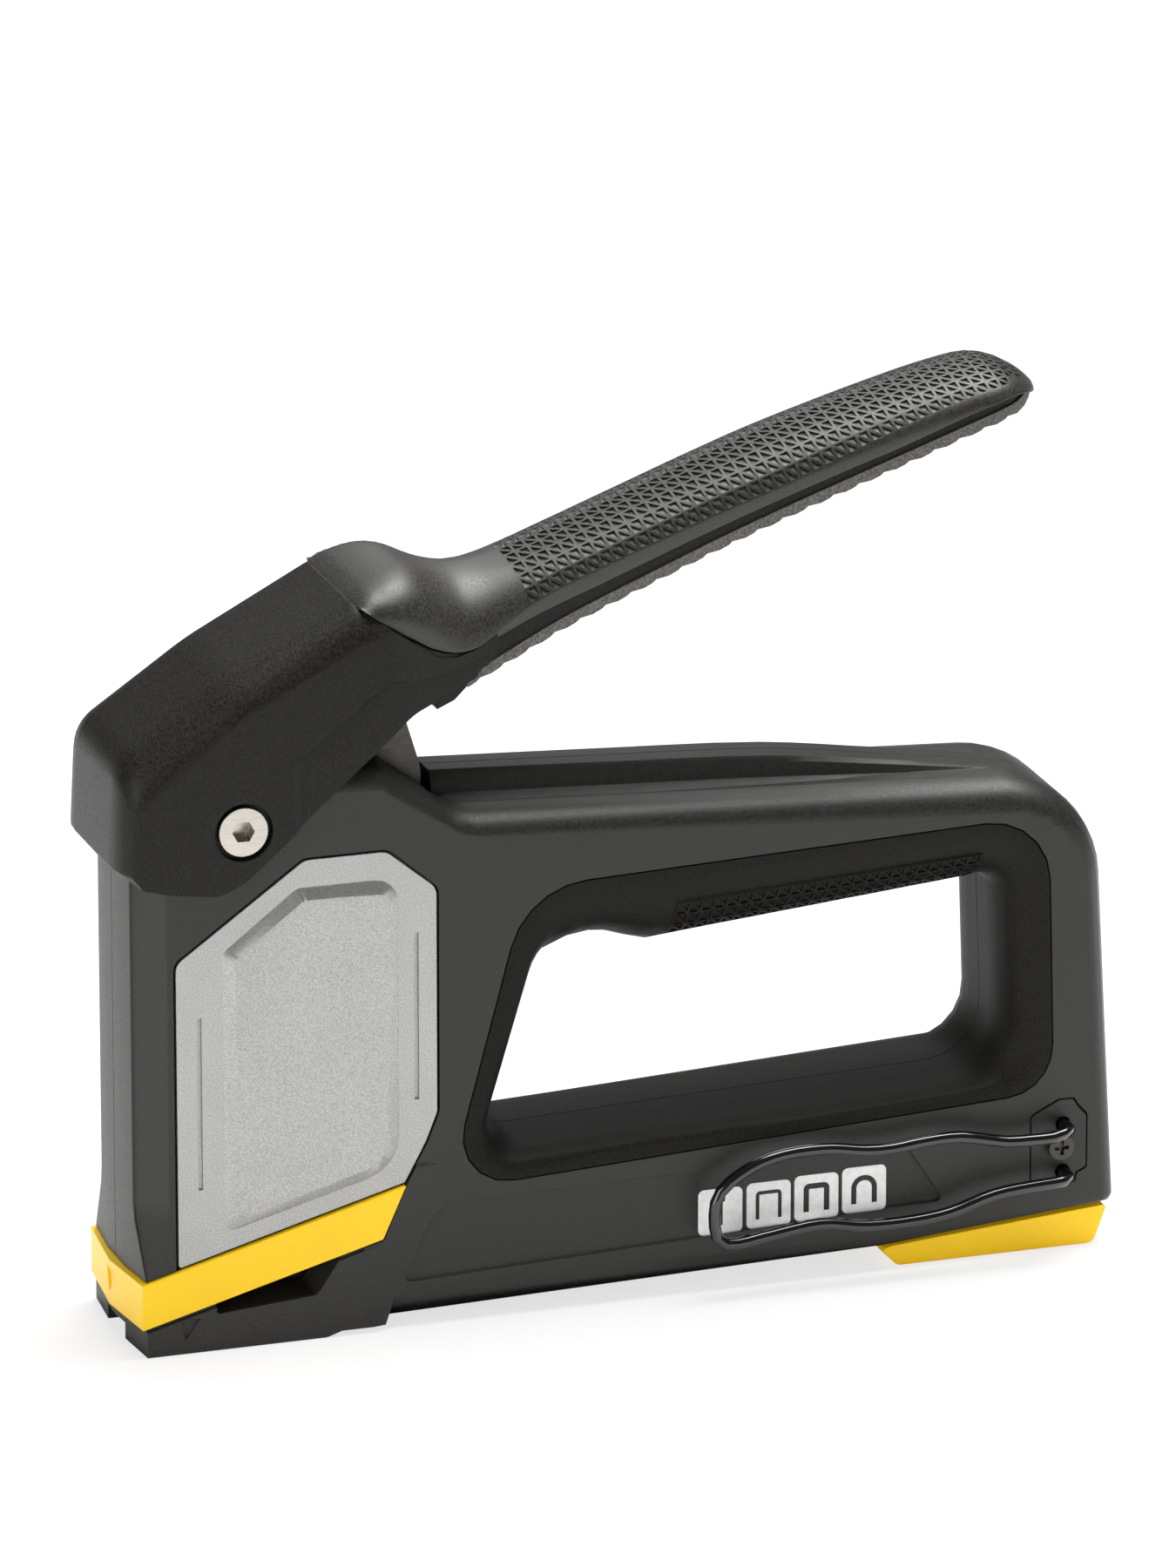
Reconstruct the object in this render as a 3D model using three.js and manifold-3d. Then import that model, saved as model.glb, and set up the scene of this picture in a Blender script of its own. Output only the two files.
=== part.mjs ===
// A heavy-duty hand tacker: moulded two-half casing with a hand opening, a hooded squeeze lever, the
// rocker and striker that the lever works, the draw-out staple magazine, and a sprung belt hook.
// Millimetres; +X runs from the nose to the heel, +Z is up, and -Y is the side with the belt hook.
import * as THREE from "three";
import { mergeVertices } from "three/addons/utils/BufferGeometryUtils.js";
import Module from "manifold-3d";

const wasm = await Module();
wasm.setup();

// ---------------------------------------------------------------- driving dimensions

// Fits
const partGap = 0.3; // between pieces that touch
const slideGap = 0.5; // between pieces that slide past each other
const seamGap = 0.2; // between the two halves of the casing

// Casing
const bodyLength = 207.5;
const bodyHalfWidth = 17.6;
const crestHalfWidth = 11; // where the shoulder's round starts
const shoulderDrop = 5.6;
const rearInset = 4.2;
const undersideLift = 1.2;
const columnTop = 122; // top of the nose column, inside the lever's hood
const columnBack = 50.5;
const columnCornerRadius = 10;
const handleStart = 66; // where the column's back runs into the handle
const handleTopFront = 107.1;
const handleTopRear = 99.8;
const rearCornerRadius = 22;
const rearLean = 4.9; // how far the rear face leans forward over the body's height
const soleLength = 38.5;
const soleStep = 1.9;
const heelUnderside = 8.8; // height of the casing's underside at the rear
const prowAngle = 5; // degrees that each half of the front is swept back
const facetWidth = 5.6; // along X, of the chamfer on the front's corners
const facetHalfWidth = 11;

// Ridge and valley on the top of the handle
const ridgeHalfWidth = 5.2;
const ridgeFootHalfWidth = 8.4;
const ridgeFrontHeight = 112.1;
const ridgeMidX = 137;
const ridgeMidHeight = 107.8;
const ridgeEndX = 188;
const valleyDepth = 1.1;

// Foot under the yellow band
const noseHalfWidth = 18.3;
const bandBottom = 5.8; // at the front of the nose
const bandHeight = 9.4;
const bandRise = 0.272; // slope of the band along the flanks
const bandBack = 50.2;
const bandBackLean = 4.8;
const bandThickness = 1.4;
const exitNotchWidth = 12;
const exitNotchHeight = 3.4;

// Hand opening, on the flank and at its narrowest
const rimFrontX = 67.5;
const rimBottomFront = 30.6;
const rimBottomRear = 37.4;
const rimTopFront = 87;
const rimTopRear = 90.8;
const openingLean = 0.27; // slope of the opening's front
const rearPillar = 17.5; // flank between the rim and the rear face
const throatFront = 5.5; // from the rim to the opening's narrowest line
const throatRear = 6.4;
const throatBottomFront = 3.8;
const throatBottomRear = 0.8;
const throatTopFront = 17.8;
const throatTopRear = 12;
const throatLand = 9; // half width of the flat part of the opening's rear and bottom
const linerLand = 2.6; // flat border of the soft lining
const linerThickness = 2.4;
const fingerHollowDepth = 4.6;
const fingerHollowX = 95;
const fingerHollowReach = 12.5;

// Cavities
const casingWall = 2.9;
const chamberHalfWidth = 8;
const chamberTop = 115.4;
const chamberFloor = 78;
const leverSlotFront = 43;
const tunnelHalfWidth = 8.2;
const tunnelTop = 15;
const strikerShaftBack = 14.6;

// Label panel on each flank
const labelDepth = 0.7;

// Side plates
const plateThickness = 1.5;
const plateGroove = 0.55; // dark gap round each plate
const plateFront = 7.9;
const plateBack = 61.8;
const plateTop = 100.5;
const plateShoulder = 81.6;
const plateFieldRise = 1.2;
const plateFieldBevel = 2.3;
const plateFieldFront = 9.6; // from the plate's front edge to the field
const plateFieldBack = 8;
const plateFieldTop = 94.9;
const slitWidth = 0.9;
const slitDepth = 0.6;

// Lever
const leverPivotX = 21.3;
const leverPivotZ = 108.6;
const cheekGap = 0.5;
const cheekThickness = 2.5;
const hoodWall = 2.7;
const hoodEdgeRadius = 9;
const cheekRecess = 1.3;
const cheekRecessBevel = 2.2;
const cheekLip = 0.7; // what is left of each cheek under the bolt's head
const hoodFront = -4.1;
const chevronTop = 44.6;
const stripShare = 0.5; // of the band under the grip that the finger strip takes
const gripHalfWidth = 14;
const gripBend = 84; // where the straight of the grip starts
const gripTipX = 192.6;
const gripTipLength = 14.5; // of the grip's rounded end, seen from above
const gripSkin = 2.6;
const bandRecess = 2.8; // how far the frame lies in under the grip's edge
const stripSetback = 1.3; // how far the finger strip lies in under the grip's edge
const stripFront = 70;
const scallopPitch = 2.8;
const scallopDepth = 0.45;
const pushPlateHalfWidth = 5.4;

// Pivot
const boltRadius = 3;
const boltHeadRadius = 5;
const boltSocket = 4; // across flats
const boltSocketDepth = 3.4;
const counterboreRadius = 6;
const bushWall = 1.6;

// Rocker and striker
const rockerPivotX = 32;
const rockerPivotZ = 92;
const rockerTailReach = 25;
const rockerTipReach = 24.5;
const rockerSwing = 15; // degrees each side of level
const rockerHubRadius = 6;
const rockerTailRadius = 4;
const rockerTipRadius = 3.2;
const rockerArmHalf = 2.1;
const rockerPinRadius = 2.5;
const strikerFront = 3.4;
const strikerBack = 12;
const strikerBottom = 60;
const strikerTop = 92.4;
const bladeThickness = 1.2;
const bladeHalfWidth = 5.2;
const springWire = 1.3;
const springRadius = 4;
const springTurns = 4;
const feedTurns = 16;

// Magazine
const guideBack = 30;
const soleThickness = 0.9;
const channelHalfWidth = 6.9;
const channelWall = 1;
const channelLength = 150;
const channelTop = 13.4;
const railHalfWidth = 4.2;
const railTop = 8.6;
const railBottom = 3;
const railWall = 1;
const railFront = 8.8;
const feedRodRadius = 0.9;
const feedRodHeight = 10.8;
const heelFront = 156.6;
const heelHalfWidth = 15.4;

// Belt hook
const hookWire = 2.6;
const hookStandOff = 5.6;
const hookInset = 12.6; // from the rear face to the wire's ends
const hookLength = 76.6;
const hookUpperZ = 27.2;
const hookLowerZ = 17;
const retainerThickness = 2.2;

// Shell screws
const screwRadius = 1.8;
const screwHeadRadius = 3.2;
const screwHeadHeight = 2.4;

// The origin is on the sole, this far behind the front of the nose
const soleDatum = 20;

// Longer than any piece, for the tools that cut right through
const beyond = bodyLength + 50;

// ---------------------------------------------------------------- derived sizes

const rimRearX = bodyLength - rearPillar;
const bodyTopSlope = (handleTopFront - handleTopRear) / (bodyLength - rearLean - handleStart);
const cheekInner = bodyHalfWidth + cheekGap;
const cheekOuter = cheekInner + cheekThickness;
const channelFront = strikerFront + 5;
const wireOffset = bodyHalfWidth + hookStandOff;
const hookRootX = bodyLength - hookInset;
const retainerScrew = [hookRootX - 0.8, (hookUpperZ + hookLowerZ) / 2 + 0.6];
const bandProud = -1.4; // where the band's front lies on the centre plane
const bladeFront = strikerFront + 1.4;
const bladeRest = 1;
const bladeTop = 75.6;
const slitPlaces = [
  [12.6, 34, 70],
  [57.6, 48, 83],
];
const radians = THREE.MathUtils.degToRad;

// ---------------------------------------------------------------- solids and outlines

// The closed solid that a geometry's surface bounds, with its faces turned outwards.
function solid(geometry) {
  const bare = geometry.clone();
  bare.deleteAttribute("normal");
  bare.deleteAttribute("uv");
  const merged = mergeVertices(bare, 1e-4);
  const vertProperties = new Float32Array(merged.attributes.position.array);
  const triVerts = new Uint32Array(merged.index.array);
  const made = new wasm.Manifold(new wasm.Mesh({ numProp: 3, vertProperties, triVerts }));
  if (made.volume() > 0) return made;
  const turned = triVerts.slice();
  for (let i = 0; i < turned.length; i += 3) {
    turned[i] = triVerts[i + 1];
    turned[i + 1] = triVerts[i];
  }
  return new wasm.Manifold(new wasm.Mesh({ numProp: 3, vertProperties, triVerts: turned }));
}

function unite(...solids) {
  return solids.reduce((whole, next) => whole.add(next));
}

function cut(base, ...tools) {
  return tools.reduce((rest, tool) => rest.subtract(tool), base);
}

// A closed outline from corners [first, second, radius, steps]; each corner becomes an arc of equal steps.
function rounded(corners, usualSteps = 4) {
  const points = [];
  corners.forEach(([x, z, radius = 0, steps = usualSteps], i) => {
    const here = new THREE.Vector2(x, z);
    const before = new THREE.Vector2(...corners.at(i - 1).slice(0, 2)).sub(here);
    const after = new THREE.Vector2(...corners[(i + 1) % corners.length].slice(0, 2)).sub(here);
    if (radius === 0) {
      points.push(here);
      return;
    }
    const half = before.angleTo(after) / 2;
    const reach = Math.min(radius / Math.tan(half), before.length() * 0.49, after.length() * 0.49);
    const start = here.clone().addScaledVector(before.normalize(), reach);
    const end = here.clone().addScaledVector(after.normalize(), reach);
    const arcRadius = reach * Math.tan(half);
    const bisector = before.clone().add(after).normalize();
    const centre = here.clone().addScaledVector(bisector, arcRadius / Math.sin(half));
    const from = start.clone().sub(centre).angle();
    let turn = end.clone().sub(centre).angle() - from;
    if (turn > Math.PI) turn -= 2 * Math.PI;
    if (turn < -Math.PI) turn += 2 * Math.PI;
    for (let k = 0; k <= steps; k++) {
      const angle = from + (turn * k) / steps;
      points.push(new THREE.Vector2(Math.cos(angle), Math.sin(angle)).multiplyScalar(arcRadius).add(centre));
    }
  });
  return points;
}

// Points of a circle about (x, z), for a bore or a pin in an outline.
function circle(x, z, radius, steps = 20) {
  return Array.from({ length: steps }, (_, k) => {
    const angle = (2 * Math.PI * k) / steps;
    return new THREE.Vector2(x + radius * Math.cos(angle), z + radius * Math.sin(angle));
  });
}

// Where an extrusion's own axes (outline's first, outline's second, depth) go in the part.
const layouts = {
  y: [new THREE.Vector3(1, 0, 0), new THREE.Vector3(0, 0, 1), new THREE.Vector3(0, -1, 0)],
  x: [new THREE.Vector3(0, 1, 0), new THREE.Vector3(0, 0, 1), new THREE.Vector3(1, 0, 0)],
  z: [new THREE.Vector3(1, 0, 0), new THREE.Vector3(0, 1, 0), new THREE.Vector3(0, 0, 1)],
};

// Extrudes an outline along an axis from low to high: (x, z) along y, (y, z) along x, (x, y) along z.
function prism(axis, outline, low, high) {
  const shape = new THREE.Shape(outline);
  const geometry = new THREE.ExtrudeGeometry(shape, { depth: high - low, bevelEnabled: false });
  geometry.applyMatrix4(new THREE.Matrix4().makeBasis(...layouts[axis]));
  const shift = new THREE.Vector3();
  shift[axis] = axis === "y" ? high : low;
  geometry.translate(shift.x, shift.y, shift.z);
  return solid(geometry);
}

function box(low, high) {
  const size = new THREE.Vector3(...high).sub(new THREE.Vector3(...low));
  const geometry = new THREE.BoxGeometry(size.x, size.y, size.z);
  geometry.translate(low[0] + size.x / 2, low[1] + size.y / 2, low[2] + size.z / 2);
  return solid(geometry);
}

// A block that reaches as far to both sides of the centre plane.
function middleBox([front, back], half, [low, high]) {
  return box([front, -half, low], [back, half, high]);
}

// A block on one side, between two distances from the centre plane.
function sideBox(sign, [front, back], [near, far], [low, high]) {
  const [first, second] = slab(sign, near, far);
  return box([front, first, low], [back, second, high]);
}

// A round bar along an axis; the centre gives its two other coordinates in X, Y, Z order.
function bar(axis, centre, radius, low, high, sides = 20, endRadius = radius) {
  const geometry = new THREE.CylinderGeometry(endRadius, radius, high - low, sides);
  if (axis === "x") geometry.rotateZ(-Math.PI / 2);
  if (axis === "z") geometry.rotateX(Math.PI / 2);
  const middle = (low + high) / 2;
  const place = { x: [middle, ...centre], y: [centre[0], middle, centre[1]], z: [...centre, middle] }[axis];
  geometry.translate(...place);
  return solid(geometry);
}

// Triangles that fill a closed outline, turned the way the outline runs.
function capTriangles(outline) {
  const forward = THREE.ShapeUtils.area(outline) > 0;
  return THREE.ShapeUtils.triangulateShape(outline, []).map(([a, b, c]) => {
    const same = THREE.ShapeUtils.area([outline[a], outline[b], outline[c]]) > 0 === forward;
    return same ? [a, b, c] : [a, c, b];
  });
}

// How a ring looks along each axis, for the caps of a loft.
const alongAxis = {
  x: (p) => new THREE.Vector2(p.y, p.z),
  y: (p) => new THREE.Vector2(p.x, p.z),
  z: (p) => new THREE.Vector2(p.x, p.y),
};

// A closed skin over rings of equal length that are stacked along an axis. Its ends are flat fillings
// of their outlines or, with a hub, fans about their middles.
function loft(rings, axis, hub = false) {
  const count = rings[0].length;
  const positions = rings.flat().flatMap((p) => [p.x, p.y, p.z]);
  const index = [];
  for (let r = 0; r + 1 < rings.length; r++) {
    for (let i = 0; i < count; i++) {
      const a = r * count + i;
      const b = r * count + ((i + 1) % count);
      index.push(a, b, b + count, a, b + count, a + count);
    }
  }
  const last = (rings.length - 1) * count;
  if (hub) {
    const low = positions.length / 3;
    for (const ring of [rings[0], rings.at(-1)]) {
      const middle = ring.reduce((sum, p) => sum.add(p), new THREE.Vector3()).divideScalar(count);
      positions.push(middle.x, middle.y, middle.z);
    }
    for (let i = 0; i < count; i++) {
      const j = (i + 1) % count;
      index.push(low, j, i, low + 1, last + i, last + j);
    }
  } else {
    for (const [a, b, c] of capTriangles(rings[0].map(alongAxis[axis]))) index.push(a, c, b);
    for (const [a, b, c] of capTriangles(rings.at(-1).map(alongAxis[axis]))) {
      index.push(last + a, last + b, last + c);
    }
  }
  const geometry = new THREE.BufferGeometry();
  geometry.setAttribute("position", new THREE.Float32BufferAttribute(positions, 3));
  geometry.setIndex(index);
  return solid(geometry);
}

// A ring of points in the plane Y = y from an outline in X and Z.
function ringAtY(outline, y) {
  return outline.map((p) => new THREE.Vector3(p.x, y, p.y));
}

// A round wire along a curve.
function wire(curve, radius, steps, sides = 8) {
  const section = new THREE.Shape(circle(0, 0, radius, sides));
  return solid(new THREE.ExtrudeGeometry(section, { steps, bevelEnabled: false, extrudePath: curve }));
}

// ---------------------------------------------------------------- finishes

const finish = (color, roughness, metalness = 0) =>
  new THREE.MeshStandardMaterial({ color, roughness, metalness });

const finishes = {
  casing: finish(0x3a3936, 0.62),
  soft: finish(0x353431, 0.8),
  silver: finish(0xc8c8c6, 0.38, 0.75),
  yellow: finish(0xf2c52c, 0.42),
  amber: finish(0xf5b31e, 0.42),
  blackWire: finish(0x141414, 0.25, 0.4),
  bright: finish(0xb9b4ab, 0.28, 1),
  darkSteel: finish(0x4a4845, 0.42, 0.9),
  springSteel: finish(0x8c8a86, 0.35, 1),
  rubber: finish(0x202020, 0.9),
};

const gun = new THREE.Group();
gun.name = "staple_gun";
gun.position.x = -soleDatum;

// Puts a solid into a group as a named mesh with its finish.
function place(group, name, shape, material) {
  const { vertProperties, numProp, triVerts } = shape.getMesh();
  const points = new Float32Array((vertProperties.length / numProp) * 3);
  for (let i = 0; i < points.length / 3; i++) {
    points.set(vertProperties.subarray(i * numProp, i * numProp + 3), i * 3);
  }
  const geometry = new THREE.BufferGeometry();
  geometry.setAttribute("position", new THREE.BufferAttribute(points, 3));
  geometry.setIndex(new THREE.BufferAttribute(triVerts, 1));
  geometry.computeVertexNormals();
  const mesh = new THREE.Mesh(geometry, material);
  mesh.name = name;
  group.add(mesh);
}

const sides = [
  { name: "left", sign: -1 },
  { name: "right", sign: 1 },
];

// Low and high Y of a slab between two distances from the centre plane, on one side.
function slab(sign, near, far) {
  return sign > 0 ? [near, far] : [-far, -near];
}

// ---------------------------------------------------------------- casing halves

// Height of the handle's crest at x.
const crestHeight = (x) => handleTopFront - bodyTopSlope * (x - handleStart);

// Height of the casing's underside at x, behind the sole.
const undersideHeight = (x) => soleStep + ((heelUnderside - soleStep) * Math.max(0, x - soleLength)) / 300 +
  Math.max(0, x - heelFront) * 0.058;

// The casing's side outline; inset runs from 0 on the crest to 1 on the flank.
function casingOutline(inset) {
  const drop = shoulderDrop * inset;
  const rear = rearInset * inset;
  const lift = undersideLift * inset;
  const rearTopX = bodyLength - rearLean - rear;
  return rounded([
    [0, 0, 0.6],
    [soleLength, 0, 3],
    [soleLength + 6, undersideHeight(soleLength + 6) + lift, 4],
    [heelFront, undersideHeight(heelFront) + lift, 20],
    [bodyLength - rear, heelUnderside + lift, 1.2],
    [rearTopX, crestHeight(bodyLength) - drop, rearCornerRadius - rear, 10],
    [handleStart + drop * 0.4, crestHeight(handleStart) - drop, 12],
    [columnBack, columnTop - 3 - drop, 5],
    [0, columnTop - drop, columnCornerRadius],
  ], 5);
}

// One half of the casing's outside: flat inside the crest, rounded over the shoulder to the flank.
function casingBlank(sign) {
  const turns = [0, 0.3, 0.6, 0.85, 1];
  const rings = [ringAtY(casingOutline(0), sign * (seamGap / 2))];
  for (const turn of turns) {
    const angle = (turn * Math.PI) / 2;
    const y = crestHalfWidth + (bodyHalfWidth - crestHalfWidth) * Math.sin(angle);
    rings.push(ringAtY(casingOutline(1 - Math.cos(angle)), sign * y));
  }
  return loft(rings, "y");
}

// The wider foot below the band, which carries the nose's sole.
function footBlank(sign) {
  const back = bandBack - bandBackLean;
  const outline = rounded([
    [-0.4, 0, 0.6],
    [soleLength, 0, 3],
    [soleLength + 6, undersideHeight(soleLength + 6), 2],
    [back, undersideHeight(back)],
    [bandBack, bandHeightAt(bandBack) - 1],
    [-0.4, bandHeightAt(0) - 1],
  ]);
  return prism("y", outline, ...slab(sign, seamGap / 2, noseHalfWidth - 0.1));
}

// The chamfer along the flank's lower edge, which narrows towards the heel.
function lowerChamfer(sign) {
  const sections = [[soleLength, 4.2], [90, 3.4], [heelFront, 1.8], [bodyLength + 1, 1.2]];
  const rings = sections.map(([x, high]) => {
    const low = undersideHeight(x) + undersideLift;
    const corners = [
      [bodyHalfWidth - high * 0.55, low - 0.5],
      [bodyHalfWidth + 1, low - 0.5],
      [bodyHalfWidth + 1, low + high + 1.8],
    ];
    return corners.map(([y, z]) => new THREE.Vector3(x, sign * y, z));
  });
  return loft(rings, "x");
}

// The smooth rib that runs up the flank from the back of the foot to the side plate's corner.
function flankRib(sign) {
  const slant = (x, z, low, high) => [[x - 8, 1], [x + low, 1], [x + low + 11, z], [x + high, z]];
  const outline = (grown) => rounded(slant(bandBack - 2 + grown, 34, grown * 0.2, 4 - grown), 2);
  return loft([
    ringAtY(outline(2.4), sign * (bodyHalfWidth - 0.6)),
    ringAtY(outline(2.2), sign * (bodyHalfWidth + 0.02)),
    ringAtY(outline(0), sign * (noseHalfWidth - 0.15)),
  ], "y");
}

// The small sunk arrow on the foot's side that shows where the staple leaves.
function exitArrow(sign) {
  const outline = [[8, 7], [12.2, 7.2], [9, 2.8]].map(([x, z]) => new THREE.Vector2(x, z));
  return prism("y", outline, ...slab(sign, noseHalfWidth - 0.6, beyond));
}

// Height of the band's lower edge at x.
function bandHeightAt(x) {
  return bandBottom + bandRise * x;
}

// Side outline of the band, grown by a margin all round.
function bandOutline(margin) {
  return [
    [-4, bandHeightAt(-4) - margin],
    [bandBack + margin, bandHeightAt(bandBack) - margin],
    [bandBack + bandBackLean + margin, bandHeightAt(bandBack + bandBackLean) + bandHeight + margin],
    [-4, bandHeightAt(-4) + bandHeight + margin],
  ].map(([x, z]) => new THREE.Vector2(x, z));
}

// What lies in front of one half of a swept-back front that starts at x on the centre plane.
function beyondFront(sign, x) {
  const sweep = Math.tan(radians(prowAngle)) * (noseHalfWidth + 5);
  const outline = [
    new THREE.Vector2(x - 20, -sign * 2),
    new THREE.Vector2(x - 2 * Math.tan(radians(prowAngle)), -sign * 2),
    new THREE.Vector2(x + sweep, sign * (noseHalfWidth + 5)),
    new THREE.Vector2(x - 20, sign * (noseHalfWidth + 5)),
  ];
  return prism("z", outline, -5, columnTop + 40);
}

// The long chamfer on a front corner of the nose column, which runs out to a point at the band.
function cornerFacet(sign) {
  const outside = noseHalfWidth + 4;
  const wedge = ([z, share]) => {
    const y = THREE.MathUtils.lerp(noseHalfWidth, facetHalfWidth, share);
    const x = y * Math.tan(radians(prowAngle));
    const back = THREE.MathUtils.lerp(x, 1 + facetWidth, share);
    const corners = [[-8, y], [x, y], [back, noseHalfWidth], [back, outside], [-8, outside]];
    return corners.map(([cx, cy]) => new THREE.Vector3(cx, sign * cy, z));
  };
  const low = bandHeightAt(0) + bandHeight;
  return loft([[low, 0.05], [low + 12, 0.9], [low + 16, 1], [columnTop + 2, 1]].map(wedge), "z");
}

// The hand opening in a side view, grown by a margin. The two shares run from 0 at the rim on the flank
// to 1 at the narrowest line: one for the front and the top, one for the rear and the bottom.
const cornerSteps = 5;
const sideShares = {
  bottom: [0.12, 0.25, 0.4, 0.55, 0.7, 0.85],
  rear: [0.35, 0.7],
  top: [0.15, 0.3, 0.45, 0.6, 0.68, 0.74, 0.79, 0.84, 0.89, 0.94],
  front: [0.35, 0.7],
};

function openingOutline(topShare, rearShare, margin) {
  const lean = Math.hypot(1, openingLean);
  const mix = THREE.MathUtils.lerp;
  const rimHeight = rimTopFront - rimBottomFront;
  const bottomFront = rimBottomFront + throatBottomFront * rearShare;
  const bottomRear = rimBottomRear + throatBottomRear * rearShare;
  const topFront = rimTopFront - throatTopFront * topShare;
  const topRear = rimTopRear - throatTopRear * topShare;
  const front = rimFrontX + throatFront * topShare;
  const frontTop = front + openingLean * mix(rimHeight, topFront - bottomFront, topShare);
  const rear = rimRearX - throatRear * rearShare;
  const corners = rounded([
    [front - margin * (lean + openingLean), bottomFront - margin, mix(7.4, 6, topShare) + margin],
    [rear + margin, bottomRear - margin, mix(7.4, 12, rearShare) + margin],
    [rear - 1.6 + margin, topRear + margin, mix(10.9, 2, topShare) + margin],
    [frontTop - margin * (lean - openingLean), topFront + margin, mix(14.4, 3, topShare) + margin],
  ], cornerSteps);
  return spread(corners).map((p) => {
    const away = (p.x - fingerHollowX) / fingerHollowReach;
    const depth = fingerHollowDepth * topShare * Math.max(0, 1 - away ** 2);
    const high = p.y > (bottomFront + topFront) / 2;
    return new THREE.Vector2(p.x, high ? p.y + depth : p.y);
  });
}

// Divides the straight stretches between an outline's four rounded corners.
function spread(points) {
  return Object.values(sideShares).flatMap((shares, side) => {
    const arc = points.slice(side * (cornerSteps + 1), (side + 1) * (cornerSteps + 1));
    const next = points[((side + 1) * (cornerSteps + 1)) % points.length];
    return [...arc, ...shares.map((share) => arc.at(-1).clone().lerp(next, share))];
  });
}

// The funnel that the hand opening cuts on one side, grown by a margin and sunk below the flank.
// Its walls roll over from the flank to the middle, the rear and the bottom more tightly.
function openingFunnel(sign, margin, sink) {
  const depth = bodyHalfWidth - sink;
  const rings = [ringAtY(openingOutline(0, 0, margin), sign * (bodyHalfWidth + 4))];
  for (const turn of [0, 20, 40, 60, 75, 90]) {
    const y = depth - (depth - 1) * (1 - Math.cos(radians(turn)));
    const tight = THREE.MathUtils.clamp((y - throatLand) / (depth - throatLand), 0, 1);
    const outline = openingOutline(Math.sin(radians(turn)), Math.sqrt(1 - tight ** 2), margin);
    rings.push(ringAtY(outline, sign * y));
  }
  rings.push(ringAtY(openingOutline(1, 1, margin), -sign));
  return loft(rings, "y", true);
}

// Chamber for the rocker and striker, the lever's slot above it, and the magazine's tunnel.
function innerSpaces() {
  const slotBack = 64.4;
  const chamber = prism("y", rounded([
    [strikerShaftBack, chamberFloor],
    [slotBack, chamberFloor, 2],
    [slotBack, chamberTop],
    [casingWall, chamberTop],
    [casingWall, strikerBottom - 5],
    [strikerShaftBack, strikerBottom - 5],
  ]), -chamberHalfWidth, chamberHalfWidth);
  const slot = middleBox([leverSlotFront, slotBack], chamberHalfWidth, [chamberTop - 12, columnTop + 5]);
  const bladeShaft = middleBox([casingWall, channelFront], chamberHalfWidth, [-1, strikerBottom]);
  const tunnel = middleBox([casingWall, beyond], tunnelHalfWidth, [-1, tunnelTop]);
  return unite(chamber, slot, bladeShaft, tunnel);
}

// Screws that hold the halves together: x and z of each.
const screwPlaces = [
  [handleStart + 4, 97],
  [bodyLength - 11.2, 80],
  [bodyLength - 29, 23.5],
  [handleStart - 1, 20],
  [122, 22.5],
  [38, 55],
];
const screwHeadFloor = bodyHalfWidth - 5.5;
const screwTip = -(bodyHalfWidth - 8);

function screwBores(sign) {
  return unite(...screwPlaces.map(([x, z]) => {
    const shank = bar("y", [x, z], screwRadius + partGap, screwTip - 1, bodyHalfWidth + 1, 12);
    if (sign < 0) return shank;
    return unite(shank, bar("y", [x, z], screwHeadRadius + partGap, screwHeadFloor, bodyHalfWidth + 6, 16));
  }));
}

// Outline of the side plate, grown by a margin.
function plateOutline(margin) {
  const lowEdge = (x) => bandHeightAt(x) + bandHeight + partGap - margin + 0.3;
  const left = plateFront - margin;
  const right = plateBack + margin;
  return rounded([
    [left, lowEdge(left), 0.5],
    [bandBack + bandBackLean + margin * 0.4, lowEdge(bandBack + bandBackLean), 0.8],
    [59.4 + margin, 39, 3],
    [right, 45, 3],
    [right, 92, 3],
    [51.5 + margin * 0.5, plateTop + margin, 3],
    [34.5 - margin * 0.4, plateTop + margin, 3],
    [left, plateShoulder + margin * 0.5, 3],
  ], 3);
}

// Pockets in one flank: the side plate's seat, the label's shallow panel and the jam window.
function flankPockets(sign) {
  const seatFloor = bodyHalfWidth - plateThickness - partGap;
  const seat = prism("y", plateOutline(plateGroove), ...slab(sign, seatFloor, beyond));
  const jamWindow = prism("y", rounded([
    [15.5, 7.6, 0.6],
    [36.4, 9.2, 2],
    [41.8, bandHeightAt(41.8), 0.5],
    [41.8, bandHeightAt(41.8) + 4],
    [15.5, bandHeightAt(15.5) + 4],
  ]), ...slab(sign, tunnelHalfWidth - 1, beyond));
  const labelPanel = prism("y", rounded([
    [54.6, 9.4, 1],
    [60.4, 22.4, 3],
    [64.5, 25.2, 3],
    [161, 26.6, 1],
    [169.5, 13.6, 1],
  ], 3), ...slab(sign, bodyHalfWidth - labelDepth, beyond));
  return unite(seat, jamWindow, labelPanel);
}

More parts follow.
